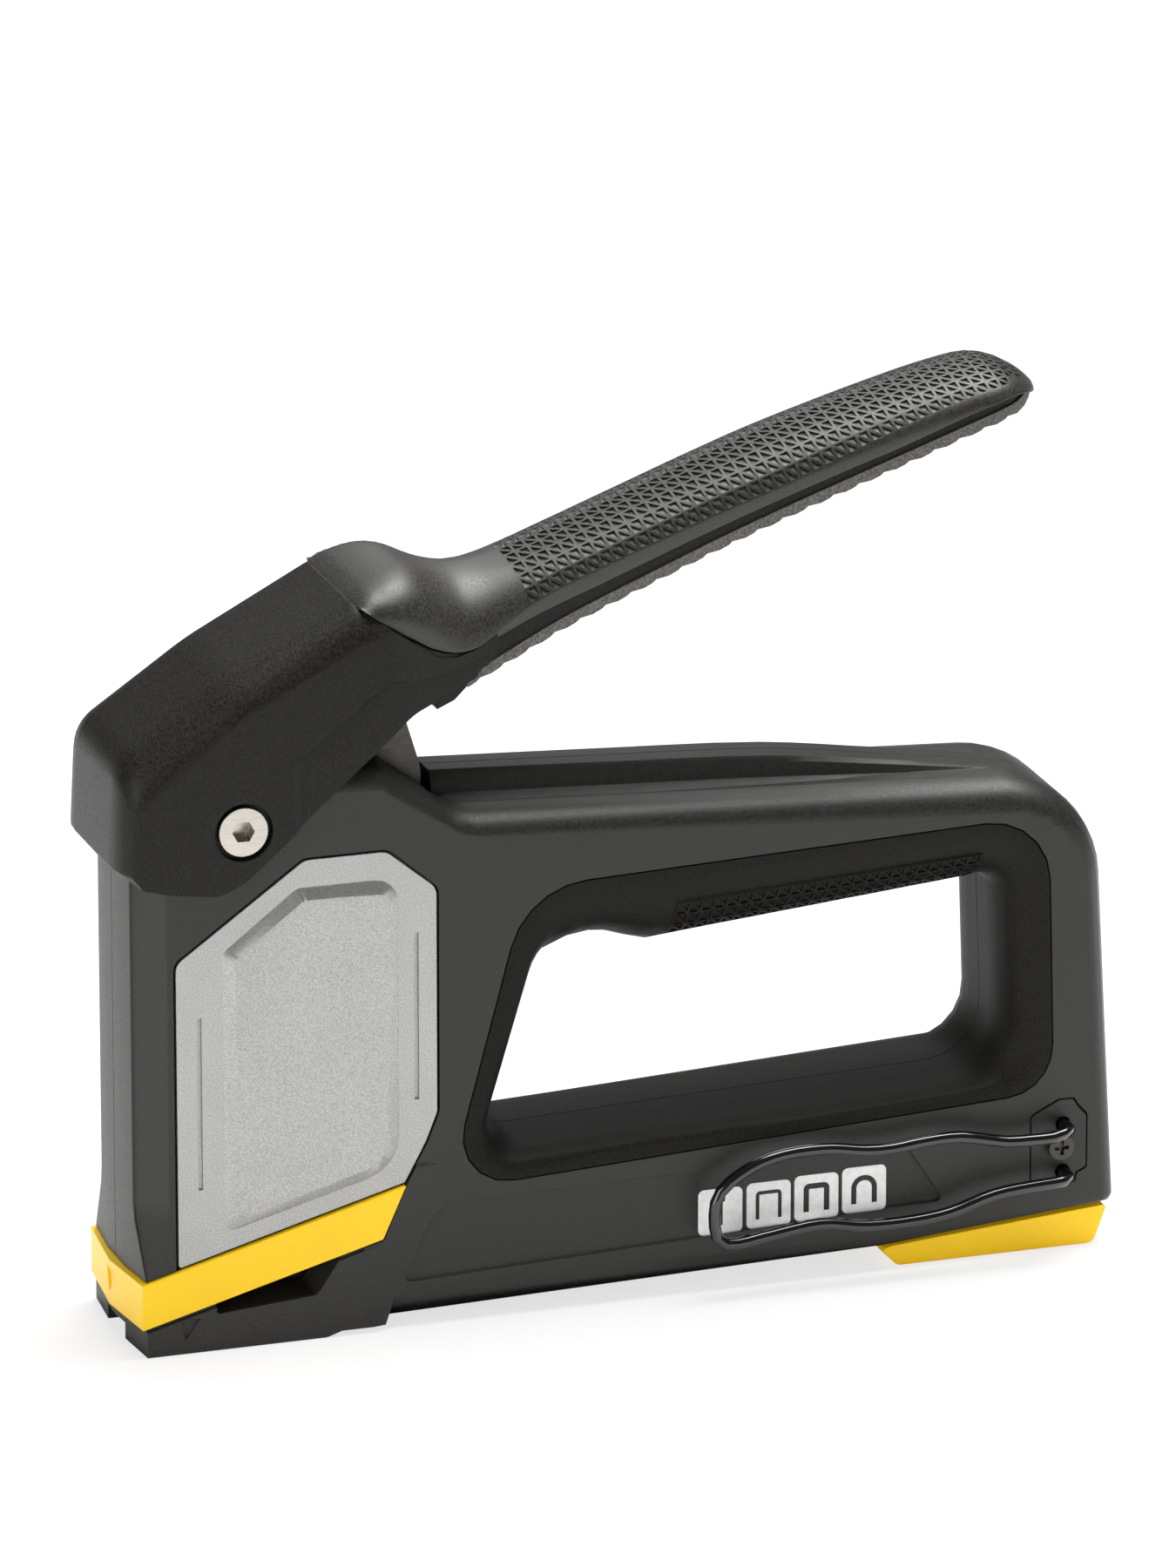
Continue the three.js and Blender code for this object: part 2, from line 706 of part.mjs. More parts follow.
// The raised ridge along the top of the handle, on one side of the seam.
function handleRidge(sign) {
  const heights = new THREE.CatmullRomCurve3([
    new THREE.Vector3(handleStart - 8, 0, ridgeFrontHeight + 0.4),
    new THREE.Vector3(100, 0, (ridgeFrontHeight + ridgeMidHeight) / 2 + 0.2),
    new THREE.Vector3(ridgeMidX, 0, ridgeMidHeight),
    new THREE.Vector3(ridgeMidX + 22, 0, ridgeMidHeight - 3.2),
    new THREE.Vector3(ridgeEndX, 0, crestHeight(ridgeEndX) - 0.6),
  ]);
  const rings = heights.getPoints(14).map((p) => {
    const floor = crestHeight(p.x) - 3;
    const foot = crestHeight(p.x) - valleyDepth;
    const rise = Math.max(p.z - foot, 0.1);
    return [
      [seamGap / 2, floor],
      [ridgeFootHalfWidth, floor],
      [ridgeFootHalfWidth, foot],
      [ridgeHalfWidth + 1, foot + rise * 0.28],
      [ridgeHalfWidth + 0.2, foot + rise * 0.8],
      [ridgeHalfWidth - 0.8, foot + rise],
      [seamGap / 2, foot + rise],
    ].map(([y, z]) => new THREE.Vector3(p.x, sign * y, z));
  });
  return loft(rings, "x");
}

// The shallow valley between the ridge and the shoulder's crest, which fades out at the rear.
function handleValley(sign) {
  const outline = [
    [handleStart - 4, crestHeight(handleStart) - valleyDepth],
    [ridgeEndX, crestHeight(ridgeEndX) + 0.01],
    [ridgeEndX, columnTop + 10],
    [handleStart - 4, columnTop + 10],
  ].map(([x, z]) => new THREE.Vector2(x, z));
  return prism("y", outline, ...slab(sign, -1, crestHalfWidth - 0.8));
}

function casingHalf(sign) {
  const ridged = unite(cut(casingBlank(sign), handleValley(sign)), handleRidge(sign));
  const outside = cut(ridged, cornerFacet(sign));
  const lower = unite(cut(outside, lowerChamfer(sign)), footBlank(sign), flankRib(sign));
  const shaped = cut(lower, beyondFront(sign, -0.5), exitArrow(sign));
  const bandSeat = cut(
    prism("y", bandOutline(partGap), ...slab(sign, -1, beyond)),
    prism("y", bandCore(partGap), ...slab(sign, -2, noseHalfWidth - bandThickness - partGap)),
  );
  const notch = box([-8, -exitNotchWidth / 2, -1], [casingWall + 1, exitNotchWidth / 2, exitNotchHeight]);
  const boltBore = bar("y", [leverPivotX, leverPivotZ], boltRadius + bushWall + partGap, -30, 30, 24);
  const rockerBore = bar("y", [rockerPivotX, rockerPivotZ], rockerPinRadius + partGap, -13, 13, 16);
  const bores = unite(notch, boltBore, rockerBore, screwBores(sign));
  const fitted = cut(shaped, innerSpaces(), bandSeat, bores, flankPockets(sign));
  const linerBack = linerThickness + partGap;
  const opened = cut(fitted, openingFunnel(sign, linerBack, linerBack), linerSeat(sign));
  return sign < 0 ? cut(opened, hookBores()) : opened;
}

// The retainer's seat in the left flank, with bores for the belt hook's two ends and the screw.
function hookBores() {
  const floor = -(bodyHalfWidth - 4);
  const ends = [hookUpperZ, hookLowerZ].map((z) =>
    bar("y", [hookRootX, z], hookWire / 2 + partGap, -beyond, floor, 16));
  const screw = bar("y", retainerScrew, screwRadius + partGap, -beyond, 6.5 - bodyHalfWidth, 12);
  const seat = prism("y", retainerOutline(partGap), -beyond, retainerThickness + partGap - bodyHalfWidth);
  return unite(...ends, screw, seat);
}

// The block that the band wraps, as a side outline: it starts one band thickness behind the front.
function bandCore(margin) {
  return [
    [bandThickness + margin, -5],
    [90, -5],
    [90, 60],
    [bandThickness + margin, 60],
  ].map(([x, z]) => new THREE.Vector2(x, z));
}

// The step round the hand opening that the lining's flat border lies in.
function linerSeat(sign) {
  const floor = bodyHalfWidth - linerThickness - partGap;
  return prism("y", openingOutline(0, 0, linerLand + partGap), ...slab(sign, floor, beyond));
}

// ---------------------------------------------------------------- casing pieces

const housing = new THREE.Group();
gun.add(housing);

for (const { name, sign } of sides) place(housing, `body_shell_${name}`, casingHalf(sign), finishes.casing);

// The soft lining: the casing's own surface round the opening, down to the step that it lies in.
function liner(sign) {
  const bore = openingFunnel(sign, 0, 0);
  const back = bodyHalfWidth - linerThickness;
  const along = [0, bodyLength];
  const up = [-1, columnTop];
  const border = prism("y", openingOutline(0, 0, linerLand), ...slab(sign, back, bodyHalfWidth));
  const funnel = openingFunnel(sign, linerThickness, linerThickness);
  const inside = cut(funnel, sideBox(sign, along, [back + linerThickness / 2, beyond], up));
  const skin = unite(border, inside);
  const half = sideBox(sign, along, [seamGap / 2, bodyHalfWidth], up);
  return cut(skin.intersect(half), bore);
}

for (const { name, sign } of sides) place(housing, `grip_liner_${name}`, liner(sign), finishes.soft);

// The yellow band: one strip bent round the nose, with its rear ends cut on the slant and a small sunk
// pointer in the middle of its front.
function noseBand() {
  const strip = prism("y", bandOutline(0), -noseHalfWidth, noseHalfWidth);
  const inner = prism("y", bandCore(0), -(noseHalfWidth - bandThickness), noseHalfWidth - bandThickness);
  const low = bandBottom + 2.2;
  const pointer = [[-2.4, low + 5], [2.4, low + 5], [0, low]].map(([y, z]) => new THREE.Vector2(y, z));
  const bent = cut(strip, inner, prism("x", pointer, -beyond, bandProud + 0.6));
  return sides.reduce((rest, { sign }) => cut(rest, beyondFront(sign, bandProud)), bent);
}

place(housing, "nose_band", noseBand(), finishes.yellow);

// A side plate: flat metal with a bevelled raised field and two short slits.
function sidePlate(sign) {
  const face = bodyHalfWidth;
  const sheet = prism("y", plateOutline(0), ...slab(sign, face - plateThickness, face));
  const field = fieldOutline(0).map((p, i) => [p, fieldOutline(plateFieldBevel)[i]]);
  const raised = loft([
    ringAtY(field.map(([p]) => p), sign * (face - 0.5)),
    ringAtY(field.map(([p]) => p), sign * (face + 0.05)),
    ringAtY(field.map(([, p]) => p), sign * (face + plateFieldRise)),
  ], "y");
  const slits = slitPlaces.map(([x, low, high]) =>
    sideBox(sign, [x - slitWidth / 2, x + slitWidth / 2], [face - slitDepth, face + 2], [low, high]));
  return cut(unite(sheet, raised), ...slits, cornerFacet(sign));
}

// Outline of the plate's raised field, drawn in by an inset.
function fieldOutline(inset) {
  const left = plateFront + plateFieldFront + inset;
  const right = plateBack - plateFieldBack - inset;
  const top = plateFieldTop - inset;
  const lowEdge = (x) => bandHeightAt(x) + bandHeight + 4.4 + inset;
  return rounded([
    [left, lowEdge(left), 2],
    [right, lowEdge(right), 9 - inset],
    [right, top, 5 - inset],
    [33 + inset * 0.4, top, 3],
    [left, 83 - inset * 0.5, 2],
  ]);
}

for (const { name, sign } of sides) place(housing, `side_plate_${name}`, sidePlate(sign), finishes.silver);

// Screws that hold the halves together, entered from the right.
function shellScrew([x, z]) {
  const headTop = screwHeadFloor + partGap + screwHeadHeight;
  const head = bar("y", [x, z], screwHeadRadius, screwHeadFloor + partGap, headTop, 16);
  const shank = bar("y", [x, z], screwRadius, screwTip, screwHeadFloor + 1, 12);
  const recess = prism("y", circle(x, z, screwRadius * 0.8, 6), headTop - 1.4, headTop + 1);
  return cut(unite(head, shank), recess);
}

screwPlaces.forEach((at, i) => place(housing, `shell_screw_${i + 1}`, shellScrew(at), finishes.darkSteel));

// ---------------------------------------------------------------- pivot

const leverCentre = [leverPivotX, leverPivotZ];
const boltFace = cheekOuter - 0.3;
const headSeat = cheekInner + cheekLip + 0.15;

// The socket-head bolt, whose head lies in the left cheek's counterbore.
function pivotBolt() {
  const head = bar("y", leverCentre, boltHeadRadius, -boltFace, -headSeat, 32);
  const shank = bar("y", leverCentre, boltRadius, -headSeat - 0.5, boltFace, 20);
  const hexagon = circle(...leverCentre, boltSocket / 2 / Math.cos(Math.PI / 6), 6);
  const socket = prism("y", hexagon, -boltFace - 1, boltSocketDepth - boltFace);
  return cut(unite(head, shank), socket);
}

function pivotNut() {
  const nut = prism("y", circle(...leverCentre, boltHeadRadius - 0.2, 6), headSeat, boltFace - 0.3);
  return cut(nut, bar("y", leverCentre, boltRadius + partGap, 0, beyond, 20));
}

function pivotBush() {
  const end = headSeat - partGap;
  const outer = bar("y", leverCentre, boltRadius + bushWall, -end, end, 24);
  return cut(outer, bar("y", leverCentre, boltRadius + partGap, -beyond, beyond, 20));
}

place(housing, "pivot_bolt", pivotBolt(), finishes.bright);
place(housing, "pivot_nut", pivotNut(), finishes.darkSteel);
place(housing, "pivot_bush", pivotBush(), finishes.springSteel);

// ---------------------------------------------------------------- rocker and striker

const rockerGroup = new THREE.Group();
const strikerGroup = new THREE.Group();
gun.add(rockerGroup, strikerGroup);

const rockerCentre = [rockerPivotX, rockerPivotZ];
const tailAngle = radians(rockerSwing);
const alongRocker = (reach) =>
  [rockerPivotX + reach * Math.cos(tailAngle), rockerPivotZ + reach * Math.sin(tailAngle)];
const rockerTail = alongRocker(rockerTailReach);
const rockerTip = alongRocker(-rockerTipReach);
const rockerHalfWidth = 3.6;

// The two-armed rocker: hub, tail under the lever's push plate and tip in the striker's window.
function rockerArm() {
  const across = [-rockerHalfWidth, rockerHalfWidth];
  const armBetween = ([x1, z1], r1, [x2, z2], r2) => {
    const along = new THREE.Vector2(x2 - x1, z2 - z1).normalize();
    const side = new THREE.Vector2(-along.y, along.x);
    const corner = (x, z, r) => new THREE.Vector2(x + side.x * r, z + side.y * r);
    const outline = [corner(x1, z1, -r1), corner(x2, z2, -r2), corner(x2, z2, r2), corner(x1, z1, r1)];
    return prism("y", outline, ...across);
  };
  const whole = unite(
    bar("y", rockerCentre, rockerHubRadius, ...across, 24),
    bar("y", rockerTail, rockerTailRadius, ...across, 20),
    bar("y", rockerTip, rockerTipRadius, ...across, 20),
    armBetween(rockerCentre, rockerHubRadius - 0.4, rockerTail, rockerTailRadius),
    armBetween(rockerCentre, rockerArmHalf + 0.9, rockerTip, rockerArmHalf),
  );
  return cut(whole, bar("y", rockerCentre, rockerPinRadius + partGap, -20, 20, 16));
}

place(rockerGroup, "rocker_arm", rockerArm(), finishes.darkSteel);
place(housing, "rocker_pin", bar("y", rockerCentre, rockerPinRadius, -12.6, 12.6, 16), finishes.springSteel);

const strikerHalfWidth = chamberHalfWidth - slideGap;
const windowLow = rockerTip[1] - rockerTipRadius - 1.2;
const windowHigh = rockerTip[1] + rockerTipRadius + 0.9;

// The sliding hammer: a steel block with a window for the rocker's tip and a slot for the blade.
function strikerCarrier() {
  const block = prism("x", [
    [-strikerHalfWidth, strikerBottom],
    [strikerHalfWidth, strikerBottom],
    [strikerHalfWidth, strikerTop],
    [-strikerHalfWidth, strikerTop],
  ].map(([y, z]) => new THREE.Vector2(y, z)), strikerFront, strikerBack);
  const tipHalf = rockerHalfWidth + slideGap;
  const tipWindow = box([-1, -tipHalf, windowLow], [20, tipHalf, windowHigh]);
  const bladeSlot = box([
    bladeFront - partGap, -bladeHalfWidth - partGap, strikerBottom - 1],
  [bladeFront + bladeThickness + partGap, bladeHalfWidth + partGap, bladeTop + partGap]);
  return cut(block, tipWindow, bladeSlot);
}

place(strikerGroup, "striker_carrier", strikerCarrier(), finishes.darkSteel);
place(strikerGroup, "driver_blade", box(
  [bladeFront, -bladeHalfWidth, bladeRest],
  [bladeFront + bladeThickness, bladeHalfWidth, bladeTop],
), finishes.bright);

// A coil spring's wire along an axis through a point.
class Coil extends THREE.Curve {
  constructor(axis, centre, radius, low, high, turns) {
    super();
    Object.assign(this, { axis, centre, radius, low, high, turns });
  }

  getPoint(t) {
    const angle = 2 * Math.PI * this.turns * t;
    const [u, v] = [this.radius * Math.cos(angle), this.radius * Math.sin(angle)];
    const along = THREE.MathUtils.lerp(this.low, this.high, t);
    if (this.axis === "z") return new THREE.Vector3(this.centre[0] + u, this.centre[1] + v, along);
    return new THREE.Vector3(along, this.centre[0] + u, this.centre[1] + v);
  }
}

const strikerMiddle = (strikerFront + strikerBack) / 2;
const capBottom = chamberTop - partGap - 2;
const powerCoil = new Coil("z", [strikerMiddle, 0], springRadius,
  strikerTop + partGap + springWire / 2, capBottom - partGap - springWire / 2, springTurns);
place(housing, "power_spring", wire(powerCoil, springWire / 2, springTurns * 12, 5), finishes.springSteel);

const capLow = [casingWall + partGap, -strikerHalfWidth, capBottom];
const capHigh = [strikerBack + 1, strikerHalfWidth, chamberTop - partGap];
const capBoss = bar("z", [strikerMiddle, 0], springRadius - springWire, capBottom - 3, capBottom + 1, 12);
place(housing, "spring_cap", unite(box(capLow, capHigh), capBoss), finishes.darkSteel);
place(housing, "bumper", box(
  [bladeFront + bladeThickness + slideGap, -strikerHalfWidth, strikerBottom - 5 + partGap],
  [strikerBack + 1, strikerHalfWidth, strikerBottom - partGap],
), finishes.rubber);

// ---------------------------------------------------------------- nose and magazine

// The steel channel that guides the blade, with the sole that stands on the work behind the exit.
function driveGuide() {
  const front = casingWall + partGap;
  const wall = 1;
  const inside = bladeHalfWidth + slideGap;
  const high = strikerBottom - 8;
  const face = middleBox([front, bladeFront - slideGap], inside + wall, [exitNotchHeight + partGap, high]);
  const cheeks = [-1, 1].map((sign) => {
    return sideBox(sign, [front, channelFront - partGap], [inside, inside + wall], [0, high]);
  });
  const up = [0, soleThickness];
  const sole = middleBox([channelFront - 2, guideBack], tunnelHalfWidth - partGap, up);
  const web = middleBox([channelFront - 2, channelFront - partGap], inside + wall, up);
  return unite(face, ...cheeks, sole, web);
}

place(housing, "drive_guide", driveGuide(), finishes.bright);

// The fixed steel channel that the rail slides in.
function magazineChannel() {
  const bottom = soleThickness + partGap;
  const outer = middleBox([channelFront, channelLength], channelHalfWidth, [bottom, channelTop]);
  const inner = channelHalfWidth - channelWall;
  return cut(outer, middleBox([0, beyond], inner, [-1, channelTop - channelWall]));
}

place(housing, "magazine_channel", magazineChannel(), finishes.springSteel);

const drawer = new THREE.Group();
const feeder = new THREE.Group();
gun.add(drawer, feeder);

// The staple rail: a hollow bar with a rear stop that carries the feed rod.
const railBack = bodyLength - 12;
const stopFront = channelLength + 4;
const stopBack = stopFront + 5;

function stapleRail() {
  const outer = middleBox([railFront, railBack], railHalfWidth, [railBottom, railTop]);
  const hollowUp = [railBottom - 1, railTop - railWall];
  const hollow = middleBox([railFront + 3, stopFront], railHalfWidth - railWall, hollowUp);
  const stop = middleBox([stopFront, stopBack], railHalfWidth, [railTop - railWall, feedRodHeight + 2]);
  const rodBore = bar("x", [0, feedRodHeight], feedRodRadius + partGap, stopFront - 1, stopBack + 1, 12);
  return cut(unite(cut(outer, hollow), stop), rodBore);
}

place(drawer, "staple_rail", stapleRail(), finishes.springSteel);
const feedAxis = [0, feedRodHeight];
place(drawer, "feed_rod", bar("x", feedAxis, feedRodRadius, railFront + 1, stopBack, 12), finishes.bright);

// The yellow heel: the magazine's catch and the tool's rear foot, with a saddle round the rail.
function heelCatch() {
  const top = (x) => undersideHeight(x) - partGap;
  const back = bodyLength - 2;
  const shoe = prism("y", rounded([
    [heelFront, 3.6, 0.8],
    [heelFront + 3.6, 0, 2],
    [back - 3, 0, 2],
    [back, top(back) - 0.3, 0.6],
    [heelFront + 2.6, top(heelFront), 0.5],
  ]), -heelHalfWidth, heelHalfWidth);
  const tongueHalf = tunnelHalfWidth - slideGap;
  const tongue = box([stopBack + 3, -tongueHalf, 2], [back - 1, tongueHalf, tunnelTop - slideGap]);
  const slotHalf = railHalfWidth + partGap;
  const railSlot = middleBox([0, railBack + partGap], slotHalf, [railBottom - partGap, railTop + partGap]);
  const stopSlot = middleBox([0, stopBack + partGap], slotHalf, [railBottom, beyond]);
  return cut(unite(shoe, tongue), railSlot, stopSlot);
}

place(drawer, "heel_catch", heelCatch(), finishes.amber);

// The pusher: a saddle on the rail, threaded on the feed rod.
const pusherFront = railFront + 1;
const pusherBack = pusherFront + 16;

function pusher() {
  const outerHalf = channelHalfWidth - channelWall - partGap;
  const top = channelTop - channelWall - partGap;
  const outer = middleBox([pusherFront, pusherBack], outerHalf, [railBottom + 1, top]);
  const saddle = middleBox([0, beyond], railHalfWidth + partGap, [0, railTop + partGap]);
  return cut(outer, saddle, bar("x", feedAxis, feedRodRadius + partGap, 0, beyond, 12));
}

place(feeder, "pusher", pusher(), finishes.darkSteel);

const feedWire = 0.4;
const feedCoil = new Coil("x", feedAxis, feedRodRadius + partGap + feedWire / 2,
  pusherBack + partGap + feedWire, stopFront - partGap - feedWire, feedTurns);
place(drawer, "pusher_spring", wire(feedCoil, feedWire / 2, feedTurns * 7, 3), finishes.springSteel);

// ---------------------------------------------------------------- belt hook

// The sprung wire: two waved legs joined by a rounded nose, with ends turned into the casing. Each
// point is [share of the length ahead of the ends, height over the upper or the lower end].
const hookUpperRun = [
  [0.05, -0.5], [0.13, -0.5], [0.185, -0.3], [0.244, 0.7], [0.322, 1.9], [0.414, 1.8], [0.512, 1.1],
  [0.585, 1.3], [0.689, 2.6], [0.834, 2.1], [0.925, -0.6], [0.988, -4.6],
];
const hookLowerRun = [
  [1, 0.9], [0.986, -4.3], [0.944, -5.2], [0.86, -4.4], [0.7, -3.1], [0.585, -4.6], [0.44, -4.7],
  [0.34, -3.8], [0.225, -1.2], [0.15, -0.5], [0.05, -0.1],
];

function beltHook() {
  const y = -wireOffset;
  const root = -(bodyHalfWidth - 3.6);
  const bend = 2.4;
  const at = (height) => ([share, rise]) =>
    new THREE.Vector3(hookRootX - share * hookLength, y, height + rise);
  const path = new THREE.CurvePath();
  const straightIn = (z) => new THREE.LineCurve3(
    new THREE.Vector3(hookRootX, root, z), new THREE.Vector3(hookRootX, y + bend, z));
  const corner = (z) => new THREE.QuadraticBezierCurve3(
    new THREE.Vector3(hookRootX, y + bend, z),
    new THREE.Vector3(hookRootX, y, z),
    new THREE.Vector3(hookRootX - bend, y, z),
  );
  const reversed = (curve) => curve instanceof THREE.LineCurve3
    ? new THREE.LineCurve3(curve.v2, curve.v1)
    : new THREE.QuadraticBezierCurve3(curve.v2, curve.v1, curve.v0);
  path.add(straightIn(hookUpperZ));
  path.add(corner(hookUpperZ));
  path.add(new THREE.CatmullRomCurve3([
    new THREE.Vector3(hookRootX - bend, y, hookUpperZ),
    ...hookUpperRun.map(at(hookUpperZ)),
    ...hookLowerRun.map(at(hookLowerZ)),
    new THREE.Vector3(hookRootX - bend, y, hookLowerZ),
  ], false, "centripetal"));
  path.add(reversed(corner(hookLowerZ)));
  path.add(reversed(straightIn(hookLowerZ)));
  return wire(path, hookWire / 2, 72);
}

place(housing, "belt_hook", beltHook(), finishes.blackWire);

// Outline of the plate over the wire's ends, with clipped corners, grown by a margin.
function retainerOutline(margin) {
  const front = hookRootX - 6.8 - margin;
  const back = hookRootX + 5 + margin;
  const top = hookUpperZ + 5.2 + margin;
  const bottom = hookLowerZ - 2.4 - margin;
  return rounded([
    [front, bottom, 0.8],
    [back - 2.4, bottom, 0.8],
    [back - 2.2, bottom + 2, 0.4],
    [back, bottom + 3, 0.8],
    [back, top - 3.8, 0.8],
    [back - 2, top - 1.6, 0.6],
    [back - 2.9, top, 0.8],
    [front + 6, top, 1.5],
    [front, top - 3, 1],
  ], 2);
}

// The plate itself, which lies flush in the flank.
function hookRetainer() {
  const plate = prism("y", retainerOutline(0), -bodyHalfWidth, retainerThickness - bodyHalfWidth);
  const ends = [hookUpperZ, hookLowerZ].map((z) =>
    bar("y", [hookRootX, z], hookWire / 2 + partGap, -beyond, 0, 16));
  return cut(plate, ...ends, bar("y", retainerScrew, screwRadius + partGap, -beyond, 0, 12));
}

// Its round-headed screw, with a cross recess.
function hookScrew() {
  const low = -bodyHalfWidth - partGap;
  const [x, z] = retainerScrew;
  const head = bar("y", retainerScrew, screwHeadRadius * 0.85, low - 1.4, low, 20, screwHeadRadius * 0.6);
  const shank = bar("y", retainerScrew, screwRadius, low - 0.5, 6 - bodyHalfWidth, 12);
  const arms = [[1.5, 0.4], [0.4, 1.5]].map(([along, up]) =>
    box([x - along, low - 3, z - up], [x + along, low - 0.5, z + up]));
  return cut(unite(head, shank), ...arms);
}

place(housing, "hook_retainer", hookRetainer(), finishes.casing);
place(housing, "hook_screw", hookScrew(), finishes.darkSteel);

// ---------------------------------------------------------------- lever

const lever = new THREE.Group();
gun.add(lever);

// A smooth height line through points [x, z].
function heightLine(points) {
  const slope = (i) => {
    const before = points[Math.max(i - 1, 0)];
    const after = points[Math.min(i + 1, points.length - 1)];
    return (after[1] - before[1]) / (after[0] - before[0]);
  };
  return (x) => {
    const next = points.findIndex(([at]) => at > x);
    if (next === 0) return points[0][1] + slope(0) * (x - points[0][0]);
    if (next < 0) return points.at(-1)[1] + slope(points.length - 1) * (x - points.at(-1)[0]);
    const [[x0, z0], [x1, z1]] = [points[next - 1], points[next]];
    const span = x1 - x0;
    const t = (x - x0) / span;
    const [m0, m1] = [slope(next - 1) * span, slope(next) * span];
    const [t2, t3] = [t * t, t * t * t];
    return (2 * t3 - 3 * t2 + 1) * z0 + (t3 - 2 * t2 + t) * m0 + (3 * t2 - 2 * t3) * z1 + (t3 - t2) * m1;
  };
}

// A place on the straight of the grip: a share of the way to the tip, and a height.
const onGrip = ([share, z]) => [THREE.MathUtils.lerp(gripBend, gripTipX, share), z];

const gripTop = heightLine([
  [44, 151.9], [50, 154.9], [55, 156.7], [59, 156.9], [64, 155.4], [69, 153.7], [75, 153.2],
  ...[
    [0, 155.9], [0.193, 163.6], [0.47, 174.6], [0.746, 183], [0.875, 185.7], [0.921, 185.3], [0.953, 183.6],
    [0.978, 181.2], [1, 178],
  ].map(onGrip),
]);
const gripGroove = heightLine([
  [44, 151], [54, 144.6], [62, 140.2], [70, 139.4],
  ...[
    [0, 147.6], [0.138, 153.6], [0.341, 161.6], [0.589, 170.2], [0.792, 176.6], [0.921, 179.8], [1, 177.8],
  ].map(onGrip),
]);
const armUnder = heightLine([
  [58, 127], [66, 128.8], [72, 131.2], [80, 135.8],
  ...[
    [0.147, 146.2], [0.332, 153.4], [0.608, 164.4], [0.847, 173.2], [0.921, 175], [0.961, 175.9], [1, 177],
  ].map(onGrip),
]);

// How much the lever narrows from the hood to the grip.
function leverTaper(x) {
  const share = THREE.MathUtils.smoothstep(x, 48, 80);
  return THREE.MathUtils.lerp(1, gripHalfWidth / cheekOuter, share);
}

// Half width of the grip at x, which closes to a rounded tip.
function gripWidth(x) {
  const toTip = THREE.MathUtils.clamp((gripTipX - x) / gripTipLength, 0, 1);
  return cheekOuter * leverTaper(x) * Math.sqrt(1 - (1 - toTip) ** 2);
}

// Where the lever's rings stand: over the bend, along the straight, and close together round the tip.
const armStations = [
  ...[-1, 3.4, 7.4, 10.9, 14.4, 18.4, 22.4, 26.4, 31.4, 37.4].map((away) => chevronTop + away),
  ...[0.1, 0.26, 0.44, 0.62, 0.77].map((share) => onGrip([share])[0]),
  ...[0.75, 0.5, 0.3, 0.16, 0.07, 0.015].map((share) => gripTipX - share * gripTipLength),
];

// Height of the joint between the frame's band and the finger strip, which starts thin at the hood.
function stripTop(x) {
  const share = stripShare * THREE.MathUtils.smoothstep(x, stripFront - 4, stripFront + 8);
  return THREE.MathUtils.lerp(armUnder(x), gripGroove(x), share);
}

// Lower edges of the grip's skin and of the frame's core under it.
const skinFoot = (x) => gripGroove(x) + partGap / 2;
const coreFoot = (x) => THREE.MathUtils.lerp(gripGroove(x), stripTop(x), 0.6);

// The grip's upper body over a foot line: square-shouldered at the hood, rounder towards the tip.
function armDome(skin, foot) {
  const rings = armStations.filter((x) => x < gripTipX - skin).map((x) => {
    const half = Math.max(gripWidth(x) - skin, 0.6);
    const low = foot(x);
    const high = Math.max(gripTop(x) - skin, low + 0.4);
    const share = THREE.MathUtils.smoothstep(x, 46, 92);
    const across = Math.min(THREE.MathUtils.lerp(hoodEdgeRadius, cheekOuter, share) - skin, half);
    const deep = Math.min(THREE.MathUtils.lerp(hoodEdgeRadius * 0.85, cheekOuter, share) - skin, high - low);
    const shoulder = Array.from({ length: 7 }, (_, k) => {
      const angle = (Math.PI / 2) * (k / 6);
      return [half - across * (1 - Math.cos(angle)), high - deep * (1 - Math.sin(angle))];
    });
    const right = [[half, low], ...shoulder];
    const left = right.toReversed().map(([y, z]) => [-y, z]);
    return [...right, ...left].map(([y, z]) => new THREE.Vector3(x, y, z));
  });
  return loft(rings, "x");
}

// The frame's band between the groove and the finger strip.
function armStrip() {
  const rings = armStations.filter((x) => x > 60).map((x) => {
    const half = Math.max(gripWidth(x) - bandRecess, 0.6);
    const high = gripGroove(x) - partGap / 2;
    const low = Math.min(stripTop(x), high - 0.4);
    const corners = [[-half, high], [-half, low], [half, low], [half, high]];
    return corners.map(([y, z]) => new THREE.Vector3(x, y, z));
  });
  return loft(rings, "x");
}

// A side outline of the hood; inset runs from 0 on its roof to 1 on its cheeks.
function hoodOutline(inset) {
  const front = hoodEdgeRadius * 0.4 * inset;
  const top = hoodEdgeRadius * 0.85 * inset;
  return rounded([
    [hoodFront + front, 101.6, 1],
    [hoodFront + 1 + front, 123.4 - top, 9, 6],
    [20, 138.8 - top, 60],
    [46, 152.4 - top, 6],
    [58, 153 - top, 10],
    [70, 150 - top, 8],
    [77, 141, 4],
    [71.5, 133.4, 2],
    [57, 128.4, 12],
    [46, 119.2, 10],
    [21.6, 98.2, 6],
    [16.2, 95.8, 5],
    [6, 97.2, 3],
    [0.2, 98.8, 1.5],
  ], 4);
}

// A standing block with the lever's outline from above, drawn in on both sides by an inset.
function planform(inset) {
  const xs = [hoodFront - 10, 48, 52, 56, 60, 64, 68, 72, 76, 80, gripTipX + 10];
  const near = xs.map((x) => new THREE.Vector2(x, inset - cheekOuter * leverTaper(x)));
  const far = near.toReversed().map((p) => new THREE.Vector2(p.x, -p.y));
  return prism("z", [...near, ...far], 0, beyond);
}

